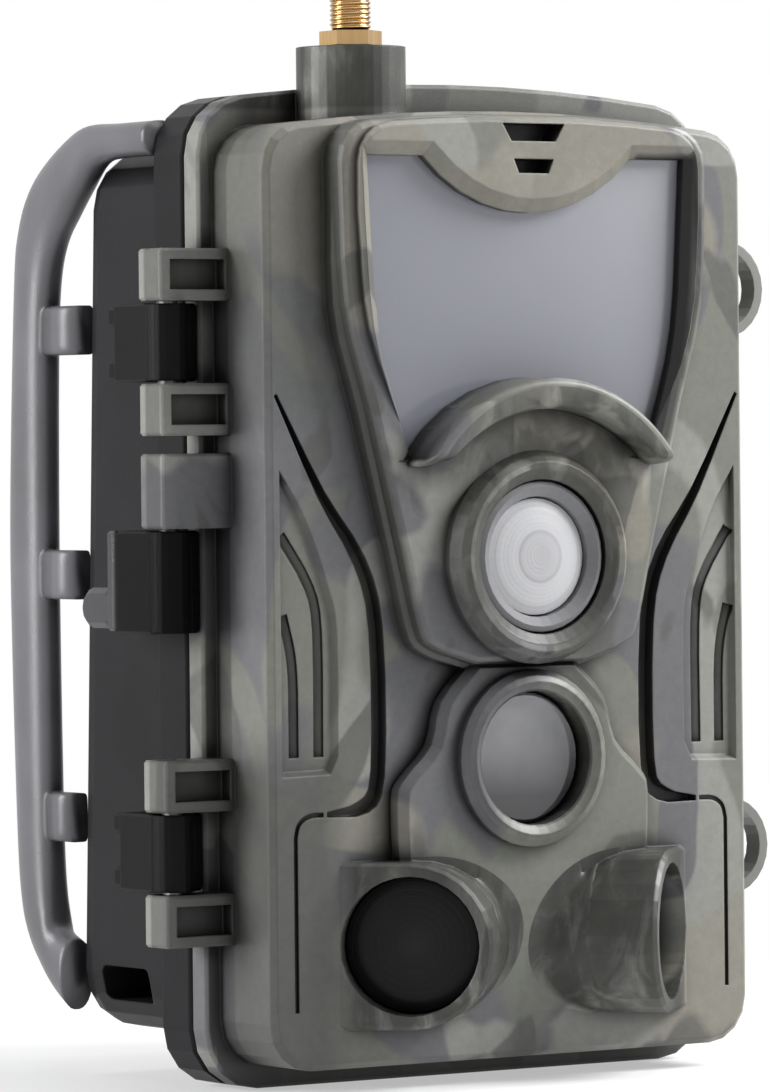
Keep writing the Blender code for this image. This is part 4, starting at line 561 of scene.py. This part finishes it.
def tinted_window():
    """Smoky blue-grey panel with a painted reflection that makes it a little lighter towards its top right,
    and faint moulding clouds.
    """
    finish = Finish("tinted_panel", (0.2, 0.2, 0.23), 0.16, Coat_Weight=0.35, Coat_Roughness=0.05)
    # Painted reflection: lighter upwards and to the right.
    rise = finish.math("MULTIPLY", finish.along("Z", *WINDOW_REFLECTION_Z), finish.along("X", *WINDOW_REFLECTION_X))
    tone = finish.ramp(rise, (0.0, (0.156, 0.160, 0.186)), (1.0, (0.300, 0.302, 0.322)))
    clouds = finish.ramp(finish.noise(14, 3, 0.5), (0.35, 0.0), (0.7, 0.2))
    finish.colour(finish.mix(clouds, tone, (0.22, 0.222, 0.247)))
    finish.rough(finish.noise(300, 4, 0.6), 0.12, 0.20)
    finish.bump(finish.noise(700, 2, 0.5), TINT_GRAIN)
    return finish.material


def milky_lens():
    """Moulded polyethylene Fresnel dome: concentric teeth, rings of tone and a greyer middle."""
    finish = Finish("milky_lens", (0.5, 0.5, 0.52), 0.38, Subsurface_Weight=0.12, Subsurface_Scale=0.002)
    radius = finish.radius(PIR_CENTRE)
    tooth = finish.teeth(radius, PIR_TOOTH)
    tone = finish.ramp(finish.math("DIVIDE", radius, PIR_LENS_RADIUS),
                       (0.0, (0.34, 0.34, 0.35)), (0.36, (0.37, 0.37, 0.385)), (0.42, (0.31, 0.31, 0.32)),
                       (0.47, (0.42, 0.42, 0.435)), (0.80, (0.44, 0.44, 0.455)), (0.86, (0.36, 0.36, 0.37)),
                       (0.93, (0.40, 0.40, 0.415)))
    finish.colour(finish.mix(finish.ramp(tooth, (0.0, 0.22), (0.25, 0.0)), tone, (0.26, 0.26, 0.27)))
    finish.bump(tooth, PIR_TOOTH_DEPTH, 0.7)
    return finish.material


def dark_lens(name, side):
    """Black infrared-passing disc with fine Fresnel rings, greyer in its middle."""
    finish = Finish(name, (0.006, 0.006, 0.007), 0.22, Specular_IOR_Level=0.12)
    centre = (side * POD_MOUTH[0], POD_MOUTH[1], POD_MOUTH[2])
    radius = finish.radius(centre, turn=(0.0, 0.0, -side * POD_ANGLE))
    tooth = finish.teeth(radius, POD_TOOTH)
    tone = finish.ramp(finish.math("DIVIDE", radius, POD_LENS_RADIUS),
                       (0.0, (0.016, 0.016, 0.018)), (0.30, (0.010, 0.010, 0.011)),
                       (1.0, (0.004, 0.004, 0.004)))
    finish.colour(finish.mix(finish.ramp(tooth, (0.0, 0.5), (0.2, 0.0)), tone, (0.022, 0.022, 0.024)))
    finish.bump(tooth, POD_TOOTH_DEPTH, 0.6)
    return finish.material


def smoked_glass(name, low=(0.035, 0.035, 0.038), high=(0.24, 0.24, 0.25)):
    """Dark polished glass over the lens or screen, with a painted reflection that lightens it towards its
    top.
    """
    finish = Finish(name, low, 0.05, Coat_Weight=0.6, Coat_Roughness=0.02)
    # Painted reflection: lighter towards the top.
    tone = finish.ramp(finish.along("Z", LENS_LOW, LENS_HIGH), (0.2, low), (0.9, high))
    finish.colour(finish.mix(finish.ramp(finish.noise(120, 3), (0.4, 0.0), (0.7, 0.3)), tone, low))
    finish.rough(finish.noise(500, 4, 0.6), 0.03, 0.08)
    return finish.material


def metal(name, colour, roughness):
    """Drawn or turned metal with fine upright lines."""
    finish = Finish(name, colour, roughness, 1.0)
    lines = finish.noise(900, 4, 0.6, at=finish.stretched((1.0, 1.0, 0.08)))
    finish.colour(finish.ramp(lines, (0.3, scaled(colour, 0.82)), (0.7, colour)))
    finish.rough(lines, roughness * 0.75, roughness * 1.35)
    finish.bump(lines, METAL_GRAIN)
    return finish.material


def circuit_board():
    """Green solder mask over tracks, with tinned pads."""
    finish = Finish("circuit_board", (0.02, 0.12, 0.06), 0.35, Coat_Weight=0.4)
    tracks = finish.cells(330, feature="DISTANCE_TO_EDGE")
    pads = finish.cells(520)
    masked = finish.ramp(tracks, (0.02, (0.045, 0.19, 0.085)), (0.06, (0.018, 0.105, 0.05)))
    finish.colour(finish.mix(finish.ramp(pads, (0.10, 1.0), (0.13, 0.0)), masked, (0.62, 0.55, 0.38)))
    finish.bump(tracks, TRACK_DEPTH, 0.5)
    return finish.material


def plain(name, colour, roughness, **sockets):
    """A moulded or rubbery surface with slight drift in colour and sheen."""
    finish = Finish(name, colour, roughness, bevel=PLAIN_EDGE, **sockets)
    drift = finish.noise(50, 4)
    finish.colour(finish.ramp(drift, (0.3, scaled(colour, 0.85)), (0.7, scaled(colour, 1.12))))
    finish.rough(finish.noise(300, 4, 0.6), roughness * 0.85, min(1.0, roughness * 1.15))
    finish.bump(finish.noise(2700, 2, 0.6), PLAIN_GRAIN)
    return finish.material


def dress(finish, *names):
    for name in names:
        slots = nodes[name].data.materials
        slots.clear()
        slots.append(finish)


def dress_nodes():
    dress(camo(), "front_shell")
    # The rear case is darkened past its hinge side, which is painted shade on its knuckles.
    dress(moulded_black("black_case", 0.013, 0.36, gloss=0.09, hinge=0.2), "rear_case")
    # A darker copy of the case's black: painted shade on the lock block between the lugs.
    dress(moulded_black("hinge_painted_shade_black", 0.003, 0.30, gloss=0.06), "lock_block")
    # Real extra gloss, plus a black a little lighter than the case's, which is a painted highlight.
    dress(moulded_black("tab_black_painted_highlight", 0.02, 0.28, gloss=0.5), "lock_slide")
    dress(plain("latch_grey", (0.15, 0.152, 0.14), 0.4), "latch_upper", "latch_lower")
    # The rails' black is made far lighter than the case's: painted sheen from the left lamp.
    dress(moulded_black("rail_black_painted_sheen", 0.09, 0.34, gloss=0.5), "strap_rail_left", "strap_rail_right")
    dress(moulded_black("inner_black", 0.022, 0.5), "inner_panel", "battery_tray", "camera_module")
    dress(tinted_window(), "led_window")
    dress(plain("grey_ring", (0.17, 0.17, 0.178), 0.5, Specular_IOR_Level=0.15), "pir_ring")
    dress(milky_lens(), "pir_lens")
    dress(smoked_glass("lens_glass"), "lens_glass")
    dress(smoked_glass("screen_glass", (0.010, 0.010, 0.012), (0.014, 0.015, 0.018)), "screen")
    dress(dark_lens("dark_lens_left", -1), "side_lens_left")
    dress(dark_lens("dark_lens_right", 1), "side_lens_right")
    dress(metal("steel", (0.62, 0.62, 0.61), 0.30),
          "pir_sensor", "side_sensor_left", "side_sensor_right", "speaker",
          *[f"panel_screw_{n}" for n in (1, 2, 3, 4)],
          *[f"contact_{kind}_{n}" for kind in ("spring", "plain") for n in (1, 2)])
    dress(metal("pin_steel", (0.26, 0.26, 0.265), 0.45),
          *[f"{kind}_pin_{place}" for kind in ("hinge", "latch") for place in ("upper", "lower")])
    dress(metal("gold", (0.52, 0.34, 0.16), 0.26), "coax_jack", "jack_nut")
    dress(metal("brass", (0.70, 0.50, 0.24), 0.30), "tripod_insert")
    dress(circuit_board(), "main_board", "led_board")
    dress(plain("seal_rubber", (0.012, 0.012, 0.012), 0.75), "gasket")
    dress(plain("cell_sleeve", (0.05, 0.055, 0.065), 0.28, Coat_Weight=0.3),
          *[f"cell_{row}_{column}" for row in (1, 2) for column in (1, 2, 3, 4)])
    dress(plain("soft_key", (0.16, 0.165, 0.17), 0.6),
          "key_ok", "key_up", "key_down", "key_left", "key_right", "mode_switch")


def finish_of(name):
    return nodes[name].data.materials[0]


# Pieces
def add(name, data):
    item = bpy.data.objects.new(name, data)
    bpy.context.scene.collection.objects.link(item)
    return item


def piece(name, form, finish, body, node=None):
    """A smooth shaded mesh that moves with a body, and may stand for one of its solids."""
    bmesh.ops.recalc_face_normals(form, faces=form.faces)
    for face in form.faces:
        face.smooth = True
    mesh = bpy.data.meshes.new(name)
    form.to_mesh(mesh)
    form.free()
    mesh.materials.append(finish)
    item = add(name, mesh)
    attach(item, body)
    if node:
        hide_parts(node)


def quads(form, first, second):
    """Faces between two loops of the same length."""
    for square in zip(first, first[1:] + first[:1], second[1:] + second[:1], second):
        form.faces.new(square)


def skin(form, rings):
    """A closed sweep through rings of equal size."""
    loops = [[form.verts.new(point) for point in ring] for ring in rings]
    for first, second in zip(loops, loops[1:]):
        quads(form, first, second)
    form.faces.new(loops[0])
    form.faces.new(loops[-1])


def resample(points, count, fineness=12):
    """Even steps along a rounded line through points."""
    line = [Vector(point) for point in points]
    line = [2 * line[0] - line[1]] + line + [2 * line[-1] - line[-2]]
    fine = []
    for before, here, there, after in zip(line, line[1:], line[2:], line[3:]):
        for step in range(fineness):
            t = step / fineness
            pull = (there - before) * t + (2 * before - 5 * here + 4 * there - after) * t * t
            fine.append(here + (pull + (3 * here - before - 3 * there + after) * t ** 3) / 2)
    fine.append(line[-2])
    run = [0.0]
    for here, there in zip(fine, fine[1:]):
        run.append(run[-1] + (there - here).length)
    out, at = [], 0
    for step in range(count):
        goal = run[-1] * step / (count - 1)
        while at < len(run) - 2 and run[at + 1] < goal:
            at += 1
        out.append(fine[at].lerp(fine[at + 1], (goal - run[at]) / (run[at + 1] - run[at])))
    return out


def rounded(across, upward, power, steps=28):
    """Points of a rounded rectangle, as pairs along two half axes."""
    pairs = []
    for step in range(steps):
        angle = math.tau * (step + 0.5) / steps
        x, y = [math.copysign(abs(leg) ** power, leg) for leg in (math.cos(angle), math.sin(angle))]
        pairs.append((across * x, upward * y))
    return pairs


def strap_rail(name, side, finish):
    """The bow as one smooth sweep of rounded section, with its three ribs."""
    form = bmesh.new()
    rings = []
    for out, back in zip(resample(RAIL_OUTER, RAIL_RINGS), resample(RAIL_INNER, RAIL_RINGS)):
        middle, half = (out + back) / 2, (out - back) / 2
        rings.append([(side * RAIL_X + x, middle.x + half.x * share, middle.y + half.y * share)
                      for share, x in rounded(1.0, RAIL_HALF, RAIL_ROUND)])
    skin(form, rings)
    section = rounded(RIB_HALF_THICK, RIB_HALF_HEIGHT, RIB_ROUND)
    for z in RIB_ZS:
        start = BACK_Y + BACK_LEAN * (BACK_Z - z + RIB_HALF_HEIGHT)
        rings = [[(side * RAIL_X + x, y, z + height) for x, height in section] for y in (start, RIB_END)]
        skin(form, rings)
    piece(name, form, finish, "rear_half", name.replace("bow", "strap_rail"))


def turned(axis, radii, z):
    """A level ring about an upright axis, with a radius for each of its points."""
    ring = []
    for n, radius in enumerate(radii):
        angle = math.tau * n / len(radii)
        ring.append((axis.x + radius * math.cos(angle), axis.y + radius * math.sin(angle), z))
    return ring


def threaded_jack(finish):
    """The coax jack with a turned thread, a chamfered mouth and its middle pin."""
    low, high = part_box("coax_jack")
    nut_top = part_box("jack_nut")[1].z
    axis = (low + high) / 2
    root = (high.x - low.x) / 2 - THREAD_DEPTH
    start = nut_top + THREAD_PITCH / 2
    rows = int((high.z - THREAD_END - start) / THREAD_PITCH * THREAD_ROWS)
    rings = [turned(axis, [root] * JACK_SIDES, z) for z in (low.z, start)]
    for row in range(1, rows + 1):
        radii = []
        for side in range(JACK_SIDES):
            turn = (row / THREAD_ROWS - side / JACK_SIDES) % 1.0
            radii.append(root + THREAD_DEPTH * (1.0 - abs(2.0 * turn - 1.0)))
        rings.append(turned(axis, radii, start + row * THREAD_PITCH / THREAD_ROWS))
    mouth = ((root, JACK_CHAMFER_DEPTH), (root - JACK_CHAMFER, 0.0),
             (JACK_BORE, 0.0), (JACK_BORE, JACK_BORE_DEPTH),
             (JACK_PIN, JACK_BORE_DEPTH), (JACK_PIN, JACK_PIN_DEPTH), (JACK_PIN / 2, JACK_TIP_DEPTH))
    for radius, depth in mouth:
        rings.append(turned(axis, [radius] * JACK_SIDES, high.z - depth))
    form = bmesh.new()
    skin(form, rings)
    piece("threaded_jack", form, finish, "front_half", "coax_jack")


def brow(finish):
    """The visor's arch as one rounded sweep just over the solid one, with its feet rounded off."""
    form = bmesh.new()
    rings = []
    for step in range(1, BROW_RINGS):
        share = BROW_END * math.sin(math.pi * (step / BROW_RINGS - 0.5))
        edges = []
        for centre, radius, swing in BROW_ARCS:
            angle = math.radians(swing * share)
            edges.append(Vector((radius * math.sin(angle), centre + radius * math.cos(angle))))
        narrow = math.sqrt(1.0 - (max(0.0, abs(share) - 1.0) / (BROW_END - 1.0)) ** 2)
        lower = math.sqrt(1.0 - (max(0.0, abs(share) - BROW_EASE) / (BROW_END - BROW_EASE)) ** 2)
        middle, half = (edges[0] + edges[1]) / 2, (edges[0] - edges[1]) / 2
        half *= narrow * (half.length + BROW_PROUD) / half.length
        ring = []
        for across, out in rounded(1.0, 1.0, BROW_ROUND, BROW_SIDES):
            y = BODY_Y - max(-BROW_SINK, out) * BROW_RISE * lower
            ring.append((middle.x + half.x * across, y, middle.y + half.y * across))
        rings.append(ring)
    skin(form, rings)
    piece("brow", form, finish, "front_half")


def slope(name, finish, base, width, low, high, rise):
    """A closed skin on the face: its half width and its height over a base plane are functions of place."""
    form = bmesh.new()
    columns, rows = int(2 * width(low) / SKIN_STEP), int((high - low) / SKIN_STEP)
    shares = [2 * n / columns - 1 for n in range(columns + 1)]
    front, back = [], []
    for n in range(rows + 1):
        z = low + (high - low) * n / rows
        xs = [width(z) * share for share in shares]
        front.append([form.verts.new((x, base + SKIN_SINK - rise(x, z), z)) for x in xs])
        back.append([form.verts.new((x, base + SKIN_BACK, z)) for x in xs])
    rims = []
    for grid in (front, back):
        for lower, upper in zip(grid, grid[1:]):
            for square in zip(lower, lower[1:], upper[1:], upper):
                form.faces.new(square)
        right, left = [row[-1] for row in grid[1:]], [row[0] for row in grid[-2:0:-1]]
        rims.append(grid[0] + right + grid[-1][-2::-1] + left)
    quads(form, *rims)
    piece(name, form, finish, "front_half")


def eased(value):
    share = min(1.0, max(0.0, value))
    return share * share * (3.0 - 2.0 * share)


def sill_width(z):
    """Half width of the raised body, or above the brow's foot that of the brow."""
    if z > BROW_FOOT:
        centre, radius, _ = BROW_ARCS[0]
        return math.sqrt(radius ** 2 - (z - centre) ** 2) - SILL_INSET
    return BODY_HALF + BODY_SPREAD * (z - BODY_HALF_Z)


def sill_rise(x, z):
    """The step under the window eased downwards, and let into the frame above its foot."""
    climb = SILL_RISE * eased((z - BROW_FOOT + SILL_LENGTH) / SILL_LENGTH)
    return (climb - LAP_FALL * max(0.0, z - BROW_FOOT)) * eased((SILL_HALF - abs(x)) / SILL_FADE)


def foot_width(_):
    return FOOT_SKIN_HALF


def foot_rise(x, z):
    """A long slope from the camera foot's lower edge down to the face, and the roots of the two pods."""
    climb = FOOT_RISE * eased((z - FOOT_START) / (FOOT_Z - FOOT_START)) - LAP_FALL * max(0.0, z - FOOT_Z)
    foot = climb * eased((FOOT_HALF - abs(x)) / FOOT_FADE)
    inner = POD_ROOT ** 2 - (z - POD_MOUTH[2]) ** 2
    if inner <= 0.0:
        return foot
    half = math.sqrt(inner)
    root = POD_FORWARD + (half + (abs(x) - POD_MOUTH[0]) * math.cos(POD_ANGLE)) / math.sin(POD_ANGLE)
    edge = POD_FORWARD + half * math.sin(POD_ANGLE) - POD_LENGTH * math.cos(POD_ANGLE)
    root -= LAP_FALL * max(0.0, root - edge)
    return foot + POD_FILLET * math.log1p(math.exp((min(root, edge + POD_LAP) - foot) / POD_FILLET))


def pieces():
    print_finish = finish_of("front_shell")
    brow(print_finish)
    slope("brow_blend", print_finish, BODY_Y, sill_width, SILL_LOW, BROW_FOOT + SILL_LAP, sill_rise)
    slope("foot_blend", print_finish, FACE_Y, foot_width, FOOT_LOW, FOOT_Z + FOOT_LAP, foot_rise)
    rail = finish_of("strap_rail_left")
    for side, name in ((-1, "bow_left"), (1, "bow_right")):
        strap_rail(name, side, rail)
    threaded_jack(finish_of("coax_jack"))


# Stage
def floor():
    """A pale floor that keeps the part's shadow and turns white away from it."""
    form = bmesh.new()
    bmesh.ops.create_grid(form, x_segments=1, y_segments=1, size=FLOOR_HALF)
    mesh = bpy.data.meshes.new("floor")
    form.to_mesh(mesh)
    form.free()
    item = add("floor", mesh)
    item.location.z = -FLOOR_DROP
    finish = Finish("pale_floor", (0.86, 0.86, 0.86), 0.6)
    light = finish.node("ShaderNodeEmission")
    light.inputs["Strength"].default_value = 1.0
    path = finish.node("ShaderNodeLightPath").outputs
    seen = finish.math("MAXIMUM", path["Is Camera Ray"], path["Is Glossy Ray"], path["Is Transmission Ray"])
    reach = finish.node("ShaderNodeVectorMath", operation="LENGTH")
    finish.link(finish.place, reach.inputs[0])
    away = finish.between(reach.outputs["Value"], FLOOR_NEAR, FLOOR_FAR, FLOOR_NEAR_WHITE, 1.0)
    blend = finish.node("ShaderNodeMixShader")
    finish.link(finish.math("MULTIPLY", seen, away), blend.inputs[0])
    finish.link(finish.shader.outputs[0], blend.inputs[1])
    finish.link(light.outputs[0], blend.inputs[2])
    finish.link(blend.outputs[0], finish.tree.nodes["Material Output"].inputs["Surface"])
    mesh.materials.append(finish.material)


def world():
    """A dim sky that looks white to the camera and in reflections."""
    made = bpy.data.worlds.new("studio")
    made.use_nodes = True
    tree = made.node_tree
    sky = tree.nodes["Background"]
    sky.inputs["Color"].default_value = SKY
    sky.inputs["Strength"].default_value = SKY_STRENGTH
    white = tree.nodes.new("ShaderNodeBackground")
    white.inputs["Color"].default_value = WHITE
    path = tree.nodes.new("ShaderNodeLightPath")
    blend = tree.nodes.new("ShaderNodeMixShader")
    seen = path.outputs["Is Camera Ray"]
    for ray in ("Is Glossy Ray", "Is Transmission Ray"):
        either = tree.nodes.new("ShaderNodeMath")
        either.operation = "MAXIMUM"
        tree.links.new(seen, either.inputs[0])
        tree.links.new(path.outputs[ray], either.inputs[1])
        seen = either.outputs[0]
    tree.links.new(seen, blend.inputs[0])
    tree.links.new(sky.outputs[0], blend.inputs[1])
    tree.links.new(white.outputs[0], blend.inputs[2])
    tree.links.new(blend.outputs[0], tree.nodes["World Output"].inputs["Surface"])
    bpy.context.scene.world = made


def studio():
    for name, place, size, power in LAMPS:
        data = bpy.data.lights.new(name, "AREA")
        data.shape = "RECTANGLE"
        data.size, data.size_y = size
        data.energy = power
        item = add(name, data)
        item.location = place
        item.rotation_euler = (LAMP_AIM - Vector(place)).to_track_quat("-Z", "Y").to_euler()


def camera():
    ahead = Vector((math.sin(AZIMUTH) * math.cos(PITCH),
                    math.cos(AZIMUTH) * math.cos(PITCH),
                    -math.sin(PITCH)))
    level = Vector((math.cos(AZIMUTH), -math.sin(AZIMUTH), 0.0))
    upright = level.cross(ahead)
    right = level * math.cos(ROLL) + upright * math.sin(ROLL)
    up = upright * math.cos(ROLL) - level * math.sin(ROLL)
    data = bpy.data.cameras.new("camera")
    data.sensor_fit = "VERTICAL"
    data.sensor_height = SENSOR
    data.lens = FOCAL_PIXELS / FRAME_HEIGHT * SENSOR
    item = add("camera", data)
    turn = Matrix((right, up, -ahead)).transposed().to_4x4()
    item.matrix_world = Matrix.Translation(LOOK_AT - ahead * DISTANCE) @ turn
    bpy.context.scene.camera = item


def main():
    dress_nodes()
    pieces()
    floor()
    world()
    studio()
    camera()
    bpy.context.scene.view_settings.view_transform = "Standard"
    bpy.context.view_layer.update()


main()
